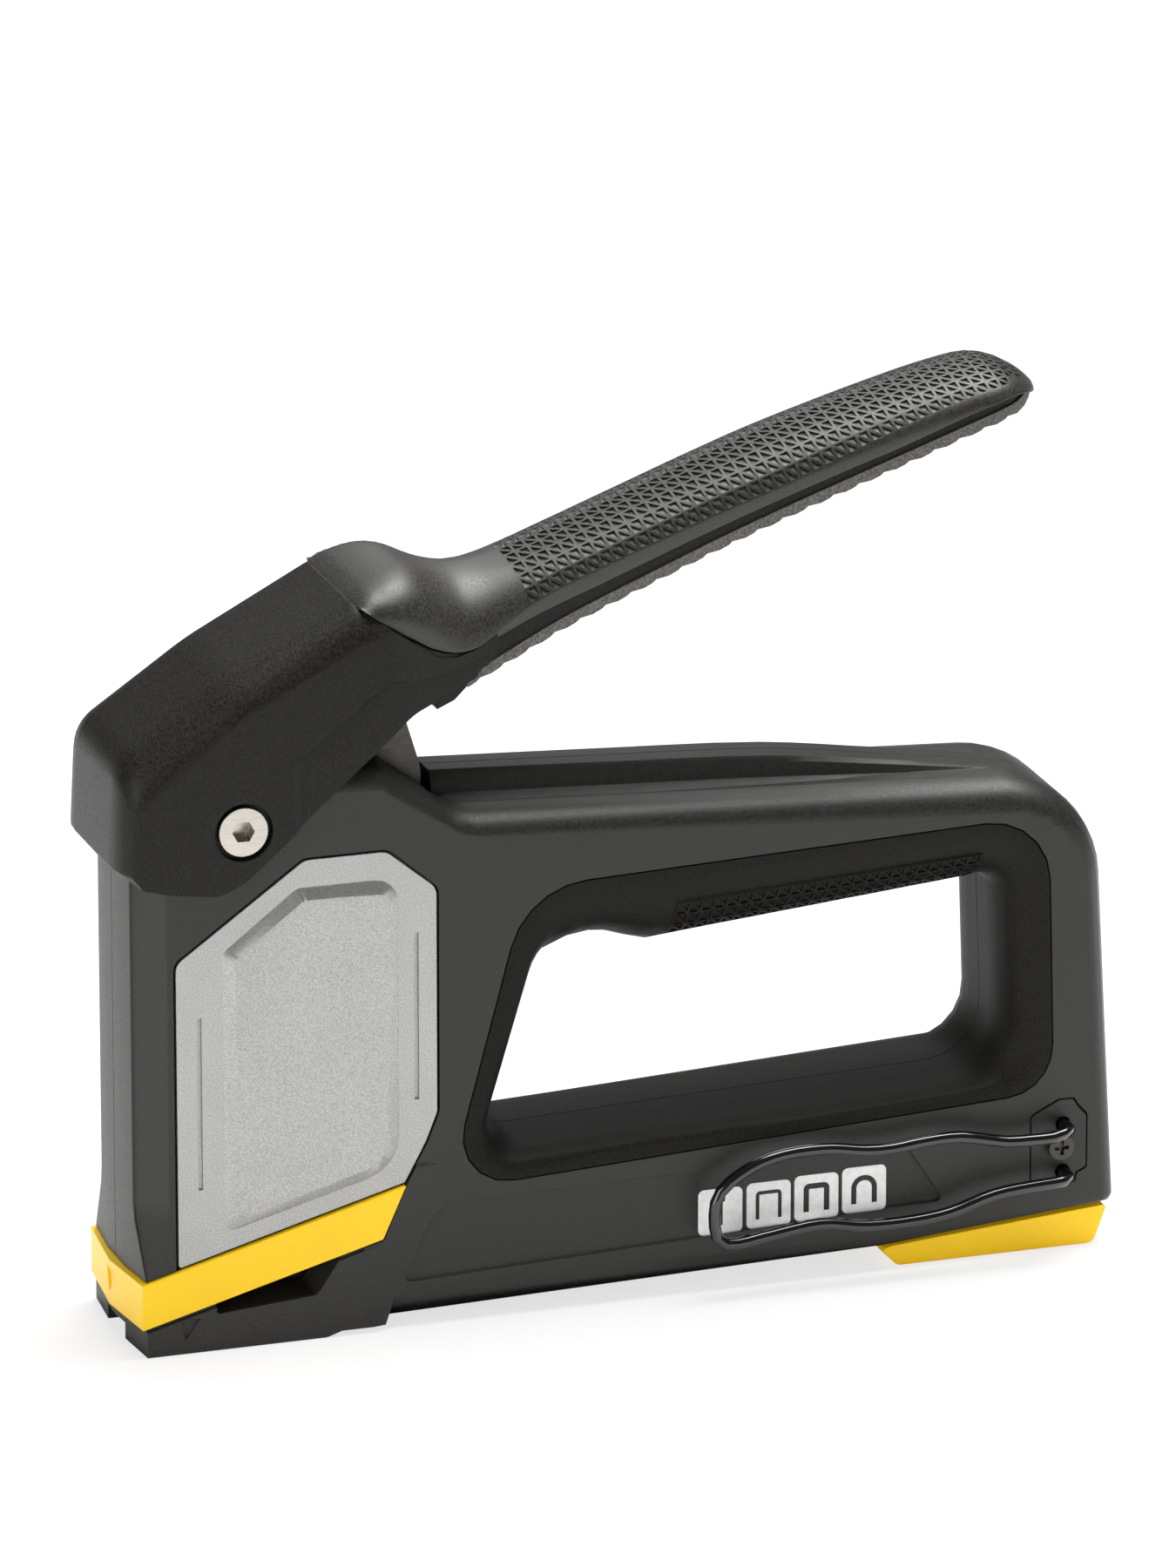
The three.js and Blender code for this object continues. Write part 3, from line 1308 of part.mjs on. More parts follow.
function hood() {
  const turns = [1, 0.8, 0.5, 0.25, 0];
  const ringAt = (turn, sign) => {
    const angle = (turn * Math.PI) / 2;
    const y = cheekOuter - hoodEdgeRadius + hoodEdgeRadius * Math.sin(angle);
    return ringAtY(hoodOutline(1 - Math.cos(angle)), sign * y);
  };
  const near = turns.map((turn) => ringAt(turn, -1));
  const rings = [...near, ...turns.toReversed().map((turn) => ringAt(turn, 1))];
  const room = (drop) => rounded([
    [hoodFront + hoodWall + drop * 0.5, 80],
    [hoodFront + hoodWall + 0.9 + drop * 0.5, 120.2 - drop, 3],
    [20.6, 135.2 - drop, 30],
    [46, 148.4 - drop, 6],
    [52, 148.4 - drop, 3],
    [68, 128],
    [68, 80],
  ], 3);
  const roomShoulder = hoodEdgeRadius * 0.5;
  const cavity = loft([
    ringAtY(room(roomShoulder * 0.8), -cheekInner),
    ringAtY(room(0), roomShoulder - cheekInner),
    ringAtY(room(0), cheekInner - roomShoulder),
    ringAtY(room(roomShoulder * 0.8), cheekInner),
  ], "y").intersect(planform(cheekThickness));
  return cut(loft(rings, "y").intersect(planform(0)), cavity);
}

// The recess in a cheek behind the pivot, with a bevelled edge.
function cheekRecessCut(sign) {
  const outline = (grown) => rounded([
    [34.4 - grown, 80],
    [33.4 - grown, 116.4, 2],
    [33.4 - grown, 121 + grown * 0.4, 3],
    [52.2, 135.6 + grown, 5],
    [63, 136 + grown, 3],
    [90, 140 + grown],
    [90, 80],
  ], 3);
  const floor = cut(prism("y", outline(0), ...slab(sign, boltRadius, beyond)), planform(cheekRecess));
  const bevel = loft([
    ringAtY(outline(0), sign * (cheekOuter - cheekRecess)),
    ringAtY(outline(cheekRecessBevel), sign * (cheekOuter + 0.3)),
    ringAtY(outline(cheekRecessBevel), sign * beyond),
  ], "y");
  return unite(floor, bevel);
}

// The zone of the soft grip in a side view, grown by a margin: behind the chevron, over the groove.
function gripZone(margin) {
  const xs = armStations.filter((x) => x >= 64);
  const groove = xs.map((x) => [x, gripGroove(x) - margin]);
  return [
    [chevronTop - margin, 230],
    [chevronTop - margin, 152.4],
    [62.6 - margin * 0.8, 139.9 - margin * 0.8],
    ...groove,
    [gripTipX + 12, 176],
    [gripTipX + 12, 230],
  ].map(([x, z]) => new THREE.Vector2(x, z));
}

function leverFrame() {
  const pivotBores = [-1, 1].map((sign) =>
    bar("y", leverCentre, counterboreRadius, ...slab(sign, cheekInner + cheekLip, beyond), 28));
  const bearing = bar("y", leverCentre, boltRadius + bushWall + partGap, -beyond, beyond, 24);
  const zone = prism("y", gripZone(partGap / 2), -beyond, beyond);
  const shell = cut(hood(), zone);
  const core = cut(armDome(gripSkin + partGap / 2, coreFoot), hoodRoom());
  const whole = unite(shell, core, armStrip());
  return cut(whole, bearing, ...pivotBores, cheekRecessCut(-1), cheekRecessCut(1));
}

// The hood's own hollow, kept clear of the grip's core.
function hoodRoom() {
  const corners = [[0, 80], [68, 80], [68, 128], [52, 148.4], [0, 148.4]];
  return prism("y", corners.map(([x, z]) => new THREE.Vector2(x, z)), -beyond, beyond);
}

place(lever, "lever_frame", leverFrame(), finishes.casing);

function leverGrip() {
  const dome = armDome(0, skinFoot).intersect(prism("y", gripZone(-partGap / 2), -beyond, beyond));
  return cut(dome, armDome(gripSkin - partGap / 2, coreFoot));
}

place(lever, "lever_grip", leverGrip(), finishes.soft);

// The notched finger strip along the lever's underside, with a rounded end under the grip's tip.
function fingerStrip() {
  const end = gripTipX - 2;
  const count = Math.round((end - stripFront) / scallopPitch);
  const at = (k) => stripFront + ((end - stripFront) * k) / count;
  const notches = Array.from({ length: count }, (_, k) => [
    new THREE.Vector2(at(k), armUnder(at(k)) + scallopDepth),
    new THREE.Vector2(at(k + 0.15), armUnder(at(k + 0.15))),
  ]).flat();
  const top = armStations.filter((x) => x > stripFront && x < end).toReversed()
    .map((x) => new THREE.Vector2(x, stripTop(x) - partGap));
  const low = new THREE.Vector2(end, armUnder(end) + scallopDepth / 2);
  const first = new THREE.Vector2(stripFront, stripTop(stripFront) - partGap);
  const side = prism("y", [...notches, low, ...top, first], -beyond, beyond);
  const near = [stripFront - 1, ...armStations.filter((x) => x > stripFront), gripTipX]
    .map((x) => new THREE.Vector2(x, -Math.max(gripWidth(x) - stripSetback, 0)))
    .filter((p, i, all) => i === 0 || p.y < 0 || all[i - 1].y < 0);
  const far = near.toReversed().filter((p) => p.y < 0).map((p) => new THREE.Vector2(p.x, -p.y));
  return side.intersect(prism("z", [...near, ...far], 0, beyond));
}

place(lever, "lever_underside", fingerStrip(), finishes.casing);

// The folded steel plate that hangs in the hood and presses the rocker's tail.
function pushPlate() {
  return prism("y", rounded([
    [34, 141],
    [45, 146.6, 1],
    [50.4, 140, 3],
    [58.5, 126.5, 16],
    [62.6, 113, 12],
    [62.2, 103.2, 3.3],
    [54.9, 103.2, 3.3],
    [49.5, 118, 8],
    [40, 131, 8],
  ]), -pushPlateHalfWidth, pushPlateHalfWidth);
}

place(lever, "push_plate", pushPlate(), finishes.darkSteel);

export default gun;
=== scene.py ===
"""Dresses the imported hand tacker: finishes, the fine pieces, the studio and the camera.

Lengths held in fields are millimetres in the tacker's own measure: X from the front of the nose,
Y from the centre plane, Z from the sole.
"""

import logging
import math
from dataclasses import dataclass, field
from enum import Enum
from typing import Callable, Sequence

import bmesh
import bpy
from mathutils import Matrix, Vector
from mathutils.bvhtree import BVHTree


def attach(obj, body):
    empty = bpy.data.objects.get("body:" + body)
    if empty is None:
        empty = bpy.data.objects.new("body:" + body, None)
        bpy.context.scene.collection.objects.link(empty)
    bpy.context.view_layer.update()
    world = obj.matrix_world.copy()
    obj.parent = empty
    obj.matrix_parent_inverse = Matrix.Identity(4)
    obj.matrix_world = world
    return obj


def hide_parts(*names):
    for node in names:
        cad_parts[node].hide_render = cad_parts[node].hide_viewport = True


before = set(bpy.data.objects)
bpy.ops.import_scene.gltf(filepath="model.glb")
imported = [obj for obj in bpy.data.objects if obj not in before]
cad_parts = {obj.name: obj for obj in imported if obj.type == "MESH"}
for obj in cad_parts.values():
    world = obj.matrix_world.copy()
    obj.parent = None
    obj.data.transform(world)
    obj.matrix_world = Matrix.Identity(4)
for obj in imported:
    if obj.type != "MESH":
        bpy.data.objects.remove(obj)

MM = 0.001
SOLE_DATUM = 20.0  # X of the frame's origin
PART_GAP = 0.3  # between pieces that touch
FLANK = 17.6  # from the centre plane
GRIP_STRAIGHT = (84.0, 192.6)  # X of its start and of the tip
NOISE_BODY = (0.3, 0.7)  # where most of a noise lies
HALF_GRID = 0.5  # half the side of a grid before it is laid
WELD_DISTANCE = 1e-6  # metres
FACE_WEIGHT = 60  # over 50, larger faces lead in smooth shading

log = logging.getLogger("tacker")

Colour = tuple[float, float, float]
Corner = tuple[float, float, float]
Pair = tuple[float, float]
Outline = list[Pair]
Spot = tuple[int, float]
Material = bpy.types.Material
Socket = bpy.types.NodeSocket
Value = float | Sequence[float] | Socket
Mesh = bmesh.types.BMesh
Vert = bmesh.types.BMVert
Face = bmesh.types.BMFace


def place(x: float, y: float, z: float) -> Vector:
    """Turns a place in the tacker's own measure into the frame's metres.

    Args:
        x: Millimetres behind the front of the nose.
        y: Millimetres from the centre plane, to the right.
        z: Millimetres above the sole.

    Returns:
        The point in the frame, in metres.
    """
    return Vector(((x - SOLE_DATUM) * MM, y * MM, z * MM))


class Side(Enum):
    """The tacker's two flanks, by the sign of Y."""

    LEFT = -1
    RIGHT = 1


# ---- finishes


class Graph:
    """The node tree of a material or the world, with short calls that add and join nodes."""

    def __init__(self, owner: Material | bpy.types.World, output: str = "Material") -> None:
        """Empties the tree.

        Args:
            owner: The material or world.
            output: The kind of its output node.
        """
        owner.use_nodes = True
        self.tree = owner.node_tree
        self.tree.nodes.clear()
        self.output = self.add(f"ShaderNodeOutput{output}")

    def add(self, kind: str, inputs: dict[str | int, Value] | None = None,
            **settings: object) -> bpy.types.Node:
        """Adds a node.

        Args:
            kind: The node's type name.
            inputs: Plain values or other nodes' outputs, by the input's name or number.
            **settings: Values for the node's own properties.

        Returns:
            The new node.
        """
        node = self.tree.nodes.new(kind)
        for key, value in settings.items():
            setattr(node, key, value)
        for key, value in (inputs or {}).items():
            if isinstance(value, Socket):
                self.join(value, node.inputs[key])
            else:
                node.inputs[key].default_value = value
        return node

    def join(self, source: Socket, target: Socket) -> None:
        """Links an output to an input."""
        self.tree.links.new(source, target)

    def noise(self, size: float, detail: float = 2.0, rough: float = 0.5,
              marks: Sequence[float] = ()) -> Socket:
        """Noise on the object's coordinates, with features of a given size.

        Args:
            size: Millimetres across a feature.
            detail: Octaves of finer noise.
            rough: Weight of the finer noise.
            marks: How much denser it is along each axis, if it is drawn out.

        Returns:
            The noise's value, from 0 to 1.
        """
        where = self.add("ShaderNodeTexCoord").outputs["Object"]
        if marks:
            mapping = self.add("ShaderNodeMapping", {"Scale": marks, "Vector": where})
            where = mapping.outputs["Vector"]
        return self.add("ShaderNodeTexNoise", {
            "Scale": 1.0 / (size * MM), "Detail": detail, "Roughness": rough, "Vector": where,
        }).outputs["Fac"]

    def spread(self, value: Socket, low: float, high: float, span: Pair = (0.0, 1.0)) -> Socket:
        """Maps a value from one range to another.

        Args:
            value: The value to map.
            low: Result at the start of the range.
            high: Result at its end.
            span: The value's range.

        Returns:
            The mapped value.
        """
        return self.add("ShaderNodeMapRange", {
            "From Min": span[0], "From Max": span[1], "To Min": low, "To Max": high,
            "Value": value,
        }).outputs["Result"]

    def tinted(self, share: Socket, colour: Colour, tones: Pair) -> Socket:
        """A colour that goes from a darker to a lighter tone.

        Args:
            share: 0 for the darker tone, 1 for the lighter.
            colour: The colour.
            tones: The factors that make the two tones from it.

        Returns:
            The toned colour.
        """
        dark, light = ((*(min(1.0, part * tone) for part in colour), 1.0) for tone in tones)
        node = self.add("ShaderNodeMix", {"Factor": share, "A": dark, "B": light}, data_type="RGBA")
        return next(output for output in node.outputs if output.type == "RGBA")

    def relief(self, height: Socket, depth: float, strength: float, edge: float = 0.0) -> Socket:
        """Bump from a height, over edges that are rounded a little, as a mould's are.

        Args:
            height: The height, from 0 to 1.
            depth: Millimetres that a height of 1 stands for.
            strength: How much of the bump shows.
            edge: Millimetres of rounding.

        Returns:
            The bumped normal.
        """
        bump = self.add("ShaderNodeBump", {
            "Strength": strength, "Distance": depth * MM, "Height": height})
        if edge:
            rounded = self.add("ShaderNodeBevel", {"Radius": edge * MM}, samples=4)
            self.join(rounded.outputs["Normal"], bump.inputs["Normal"])
        return bump.outputs["Normal"]

    def surface(self, **inputs: Value) -> None:
        """Joins a principled shader to the output.

        Args:
            **inputs: Values for its inputs, with underscores for spaces.
        """
        named = {key.replace("_", " "): value for key, value in inputs.items()}
        shader = self.add("ShaderNodeBsdfPrincipled", named)
        self.join(shader.outputs["BSDF"], self.output.inputs["Surface"])


@dataclass(frozen=True)
class Finish:
    """A finish by its name and its colour."""

    name: str
    colour: Colour

    def paint(self, graph: Graph) -> None:
        """Adds the finish's nodes to its material's node tree."""
        raise NotImplementedError

    def material(self) -> Material:
        """Makes the finish's material.

        Returns:
            The material, painted.
        """
        made = bpy.data.materials.new(self.name)
        self.paint(Graph(made))
        return made

    def later(self) -> Material:
        """A field that makes the material when its class is made."""
        return field(default_factory=self.material)


@dataclass(frozen=True)
class MouldedPlastic(Finish):
    """Moulded nylon with the fine grain of a spark-eroded mould."""

    roughness: float = 0.55
    swing: float = 0.09
    grain: float = 0.42
    depth: float = 0.035
    strength: float = 0.55
    edge: float = 0.35
    sheen: float = 0.0
    gloss: float = 0.5
    speckle: Pair = (0.36, 0.64)
    tones: Pair = (0.45, 1.7)

    def paint(self, graph: Graph) -> None:
        """Adds the finish's nodes.

        Args:
            graph: Its material's node tree.
        """
        grains = graph.noise(self.grain, detail=3.0, rough=0.6)
        speckle = graph.spread(grains, 0.0, 1.0, self.speckle)
        low, high = self.roughness - self.swing, self.roughness + self.swing
        graph.surface(
            Base_Color=graph.tinted(speckle, self.colour, self.tones),
            Roughness=graph.spread(grains, low, high, NOISE_BODY),
            Normal=graph.relief(grains, self.depth, self.strength, self.edge),
            Specular_IOR_Level=self.gloss, Sheen_Weight=self.sheen)


@dataclass(frozen=True)
class GlossPlastic(Finish):
    """Coloured plastic with a smooth, faintly rippled skin, and a painted glow in its own colour
    that brightens it where the lamps leave it dim.
    """

    roughness: Pair = (0.31, 0.42)
    # glow: strength of painted light, an emission in the plastic's own colour that brightens it
    # though it is no lamp
    glow: float = 0.0
    cloud: float = 18.0
    ripple: float = 0.5
    tones: Pair = (0.94, 1.05)

    def paint(self, graph: Graph) -> None:
        """Adds the finish's nodes.

        Args:
            graph: Its material's node tree.
        """
        fine = graph.noise(self.ripple)
        graph.surface(
            Base_Color=graph.tinted(graph.noise(self.cloud), self.colour, self.tones),
            Roughness=graph.spread(fine, *self.roughness, NOISE_BODY),
            Normal=graph.relief(fine, depth=0.012, strength=0.4, edge=0.3),
            Specular_IOR_Level=0.34, Coat_Weight=0.05, Coat_Roughness=0.25,
            # painted glow: the plastic emits its own colour in place of light that the lamps do not
            # give it
            Emission_Color=(*self.colour, 1.0), Emission_Strength=self.glow)


@dataclass(frozen=True)
class SilverPaint(Finish):
    """Metallic paint with fine flakes over a flat plate."""

    roughness: Pair = (0.33, 0.45)
    metallic: float = 0.8
    flake: float = 0.32
    cloud: float = 9.0
    speckle: Pair = (0.35, 0.65)
    tones: Pair = (0.78, 1.2)

    def paint(self, graph: Graph) -> None:
        """Adds the finish's nodes.

        Args:
            graph: Its material's node tree.
        """
        flakes = graph.noise(self.flake, rough=0.7)
        speckle = graph.spread(flakes, 0.0, 1.0, self.speckle)
        graph.surface(
            Base_Color=graph.tinted(speckle, self.colour, self.tones),
            Roughness=graph.spread(graph.noise(self.cloud), *self.roughness),
            Normal=graph.relief(flakes, depth=0.02, strength=0.35, edge=0.25),
            Metallic=self.metallic, Specular_IOR_Level=0.5)


@dataclass(frozen=True)
class Steel(Finish):
    """Plain, plated or blackened steel with faint drawing marks."""

    roughness: float = 0.3
    swing: Pair = (0.08, 0.1)
    mark: float = 0.6
    marks: Sequence[float] = (0.15, 1.0, 1.0)
    cloud: float = 6.0
    tones: Pair = (0.85, 1.1)

    def paint(self, graph: Graph) -> None:
        """Adds the finish's nodes.

        Args:
            graph: Its material's node tree.
        """
        drawn = graph.noise(self.mark, detail=3.0, rough=0.6, marks=self.marks)
        low, high = self.roughness - self.swing[0], self.roughness + self.swing[1]
        graph.surface(
            Base_Color=graph.tinted(graph.noise(self.cloud, detail=3.0), self.colour, self.tones),
            Roughness=graph.spread(drawn, low, high, NOISE_BODY),
            Normal=graph.relief(drawn, depth=0.01, strength=0.4, edge=0.2),
            Metallic=1.0)


@dataclass(frozen=True)
class GlossCoat(Finish):
    """Dipped gloss coating on bent wire."""

    roughness: Pair = (0.08, 0.2)
    run: float = 2.2
    tones: Pair = (0.8, 1.3)

    def paint(self, graph: Graph) -> None:
        """Adds the finish's nodes.

        Args:
            graph: Its material's node tree.
        """
        runs = graph.noise(self.run)
        graph.surface(
            Base_Color=graph.tinted(runs, self.colour, self.tones),
            Roughness=graph.spread(runs, *self.roughness),
            Normal=graph.relief(runs, depth=0.03, strength=0.35),
            Specular_IOR_Level=0.6, Coat_Weight=0.4, Coat_Roughness=0.08)


@dataclass(frozen=True)
class PrintInk(Finish):
    """Pad-printed ink, thin and slightly uneven."""

    wear: Pair = (0.3, 0.62)
    tones: Pair = (0.86, 1.0)

    def paint(self, graph: Graph) -> None:
        """Adds the finish's nodes.

        Args:
            graph: Its material's node tree.
        """
        wear = graph.spread(graph.noise(1.4, detail=4.0, rough=0.65), 0.0, 1.0, self.wear)
        graph.surface(
            Base_Color=graph.tinted(wear, self.colour, self.tones),
            Normal=graph.relief(graph.noise(0.42, detail=3.0), depth=0.02, strength=0.4),
            Roughness=0.5, Specular_IOR_Level=0.4)


@dataclass(frozen=True)
class Finishes:
    """Every finish on the tacker, made once and shared."""

    casing: Material = MouldedPlastic(
        "casing_nylon", (0.0112, 0.0109, 0.0091), 0.48, strength=0.8).later()
    lever: Material = MouldedPlastic(
        "lever_nylon", (0.0098, 0.0094, 0.008), 0.45, grain=0.5, depth=0.05, strength=0.9,
        edge=0.5, gloss=0.2).later()
    strip: Material = MouldedPlastic(
        "finger_strip_nylon", (0.105, 0.098, 0.088), 0.7, grain=0.45, depth=0.05, strength=0.9,
        edge=0.2).later()
    soft: Material = MouldedPlastic(
        "soft_grip", (0.0165, 0.016, 0.0135), 0.47, grain=0.5, depth=0.03, strength=0.8,
        edge=0.1, sheen=0.02, gloss=0.56).later()
    lining: Material = MouldedPlastic(
        "soft_lining", (0.0072, 0.007, 0.0058), 0.6, grain=0.5, depth=0.03, strength=0.9,
        edge=0.3, gloss=0.16).later()
    silver: Material = SilverPaint("silver_plate", (0.385, 0.385, 0.375)).later()
    # the band and the heel carry a painted glow that brightens them beyond what the lamps give; the
    # heel's, under the casing's overhang, is the stronger
    yellow: Material = GlossPlastic("yellow_band", (0.97, 0.61, 0.006), glow=0.06).later()
    amber: Material = GlossPlastic("amber_heel", (0.99, 0.61, 0.006), glow=0.16).later()
    wire: Material = GlossCoat("black_wire", (0.002, 0.002, 0.002)).later()
    bright: Material = Steel("bright_steel", (0.5, 0.465, 0.415), 0.26).later()
    dark: Material = Steel("dark_steel", (0.075, 0.07, 0.062), 0.42).later()
    spring: Material = Steel("spring_steel", (0.30, 0.29, 0.28), 0.34).later()
    rubber: Material = MouldedPlastic(
        "rubber_stop", (0.014, 0.014, 0.014), 0.85, grain=0.3, depth=0.02, strength=0.5,
        edge=0.4).later()
    ink: Material = PrintInk("white_print", (0.95, 0.95, 0.94)).later()
    sign: Material = PrintInk("dark_print", (0.022, 0.021, 0.020)).later()


# ---- shared making


def dress(name: str, material: Material, crease: float = 28.0) -> None:
    """Gives a CAD node its finish and smooth shading up to a crease angle.

    Args:
        name: The node's name.
        material: Its finish.
        crease: Degrees between faces above which an edge stays sharp.
    """
    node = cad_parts[name]
    node.data.materials.clear()
    node.data.materials.append(material)
    node.data.polygons.foreach_set("use_smooth", [True] * len(node.data.polygons))
    weld = node.modifiers.new("weld", "WELD")
    weld.merge_threshold = WELD_DISTANCE
    split = node.modifiers.new("creases", "EDGE_SPLIT")
    split.split_angle = math.radians(crease)
    weighted = node.modifiers.new("even_shading", "WEIGHTED_NORMAL")
    weighted.weight = FACE_WEIGHT
    log.info("dressed %s", name)


def finished(name: str, mesh: Mesh, body: str, material: Material,
             crease: float = 30.0) -> bpy.types.Object:
    """Turns a bmesh into a piece that rides on a body.

    Args:
        name: The piece's name.
        mesh: Its shape, in the frame's metres; it is freed.
        body: The body that it rides on.
        material: Its finish.
        crease: Degrees between faces above which an edge stays sharp.

    Returns:
        The piece's object.
    """
    for face in mesh.faces:
        face.smooth = True
    for edge in mesh.edges:
        if len(edge.link_faces) == 2:
            edge.smooth = edge.calc_face_angle(0.0) < math.radians(crease)
    data = bpy.data.meshes.new(name)
    mesh.to_mesh(data)
    mesh.free()
    data.materials.append(material)
    piece = bpy.data.objects.new(name, data)
    bpy.context.scene.collection.objects.link(piece)
    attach(piece, body)
    log.info("made %s with %d faces", name, len(data.polygons))
    return piece


def mix(first: float, second: float, share: float) -> float:
    """A value part of the way from one to another."""
    return first + (second - first) * share


def smooth(value: float, start: float, end: float) -> float:
    """A share that eases from 0 at the start to 1 at the end."""
    share = min(1.0, max(0.0, (value - start) / (end - start)))
    return share * share * (3.0 - 2.0 * share)


def along(outline: Outline, share: float) -> Pair:
    """The point at a share of an open outline's length.

    Args:
        outline: The outline's corners in order.
        share: 0 for its start, 1 for its end.

    Returns:
        The point.
    """
    spans = [math.dist(a, b) for a, b in zip(outline, outline[1:])]
    rest = share * sum(spans)
    for (a, b), span in zip(zip(outline, outline[1:]), spans):
        if rest <= span:
            part = rest / max(span, 1e-9)
            return mix(a[0], b[0], part), mix(a[1], b[1], part)
        rest -= span
    return outline[-1]


@dataclass
class Sheet:
    """A grid laid over a surface, from front to rear and from its lower edge upward.

    Its surface and underside are functions of a grid place that return points in the frame's
    metres. Its first fine_columns have each row cut into thinner ones.
    """

    columns: int
    rows: int
    surface: Callable[[int, float], Vector]
    underside: Callable[[int, float], Vector]
    fine_columns: int = 0
    cuts: int = 0
    mesh: Mesh = field(default_factory=bmesh.new)
    verts: dict[Spot, Vert] = field(default_factory=dict)
    cells: dict[Spot, Face] = field(default_factory=dict)

    def lay(self) -> None:
        """Makes the grid, lays it on the surface, and closes it with its underside and rim."""
        bmesh.ops.create_grid(self.mesh, x_segments=self.columns, y_segments=self.rows,
                              size=HALF_GRID)
        if self.cuts:
            steps = [edge for edge in self.mesh.edges if self.is_fine(edge)]
            bmesh.ops.subdivide_edges(self.mesh, edges=steps, cuts=self.cuts)
        finer = self.cuts + 1
        for vert in self.mesh.verts:
            row = round((vert.co.y + HALF_GRID) * self.rows * finer) / finer
            self.verts[round(self.column(vert)), row] = vert
        spots = {vert: spot for spot, vert in self.verts.items()}
        for face in self.mesh.faces:
            self.cells[min(spots[vert] for vert in face.verts)] = face
        for spot, vert in self.verts.items():
            vert.co = self.surface(*spot)
        laid = {tuple(vert.co): spot for spot, vert in self.verts.items()}
        whole = [*self.mesh.verts, *self.mesh.edges, *self.mesh.faces]
        copied = bmesh.ops.extrude_face_region(self.mesh, geom=whole, use_keep_orig=True)
        for vert in (item for item in copied["geom"] if isinstance(item, Vert)):
            vert.co = self.underside(*laid[tuple(vert.co)])
        bmesh.ops.recalc_face_normals(self.mesh, faces=self.mesh.faces)

    def column(self, vert: Vert) -> float:
        """The column line that a corner of the flat grid stands on."""
        return (vert.co.x + HALF_GRID) * self.columns

    def is_fine(self, edge: bmesh.types.BMEdge) -> bool:
        """Whether an edge of the flat grid crosses a row of the fine columns."""
        first, second = map(self.column, edge.verts)
        return abs(first - second) < 0.5 and first < self.fine_columns - 0.5

    def corners(self, spot: Spot, upward: bool) -> list[Vert]:
        """Lower front, lower rear, upper rear and upper front corner of a cell.

        Args:
            spot: The cell's place.
            upward: Whether the rows run upward there.

        Returns:
            The corners.
        """
        column, row = spot
        low, high = (row, row + 1) if upward else (row + 1, row)
        around = (column, low), (column + 1, low), (column + 1, high), (column, high)
        return [self.verts[at] for at in around]


@dataclass(frozen=True)
class Pockets:
    """A pair of triangular pockets in each cell, whose floors rise to the cell's lower front."""

    rib: float = 0.3
    draft: float = 0.04
    depth: float = 0.32
    slope: float = 0.3

    def sink(self, sheet: Sheet, cells: Sequence[tuple[Spot, bool]]) -> None:
        """Sinks the pockets in some of a sheet's cells.

        Args:
            sheet: The sheet, already laid.
            cells: Each cell's place, and whether the sheet's rows run upward there.
        """
        floors: dict[Face, Vector] = {}
        for spot, upward in cells:
            low_front, low_rear, high_rear, high_front = sheet.corners(spot, upward)
            falling = (low_front.co - high_rear.co).normalized()
            face = sheet.cells[spot]
            other, _ = bmesh.utils.face_split(face, high_front, low_rear)
            floors[face] = floors[other] = falling
        for thickness, depth in ((self.rib, 0.0), (self.draft, -self.depth)):
            bmesh.ops.inset_individual(sheet.mesh, faces=list(floors), thickness=thickness * MM,
                                       depth=depth * MM, use_even_offset=True)
        for face, falling in floors.items():
            middle, normal = face.calc_center_median(), face.normal.copy()
            for vert in face.verts:
                vert.co += normal * (self.slope * (vert.co - middle).dot(falling))


@dataclass(frozen=True)
class SmoothLine:
    """A smooth height line through points of the side view."""

    points: tuple[Pair, ...]

    def slope(self, index: int) -> float:
        """The line's slope at one of its points.

        Args:
            index: Which point it is, from 0.

        Returns:
            The slope between its neighbours.
        """
        last = len(self.points) - 1
        (x0, z0), (x1, z1) = self.points[max(index - 1, 0)], self.points[min(index + 1, last)]
        return (z1 - z0) / (x1 - x0)

    def at(self, x: float) -> float:
        """The line's height at a place along the tacker.

        Args:
            x: Millimetres behind the front of the nose.

        Returns:
            The height in millimetres.
        """
        passed = sum(1 for point in self.points if point[0] <= x)
        if passed in (0, len(self.points)):
            end = max(passed - 1, 0)
            return self.points[end][1] + self.slope(end) * (x - self.points[end][0])
        (x0, z0), (x1, z1) = self.points[passed - 1:passed + 1]
        span = x1 - x0
        t = (x - x0) / span
        first, last = self.slope(passed - 1) * span, self.slope(passed) * span
        bend = (t ** 3 - 2 * t ** 2 + t) * first + (t ** 3 - t ** 2) * last
        return bend + mix(z0, z1, 3 * t ** 2 - 2 * t ** 3)


def on_grip(*points: Pair) -> tuple[Pair, ...]:
    """Turns shares of the grip's straight into places along the tacker."""
    return tuple((mix(*GRIP_STRAIGHT, share), z) for share, z in points)


# ---- pieces of the lever and the casing


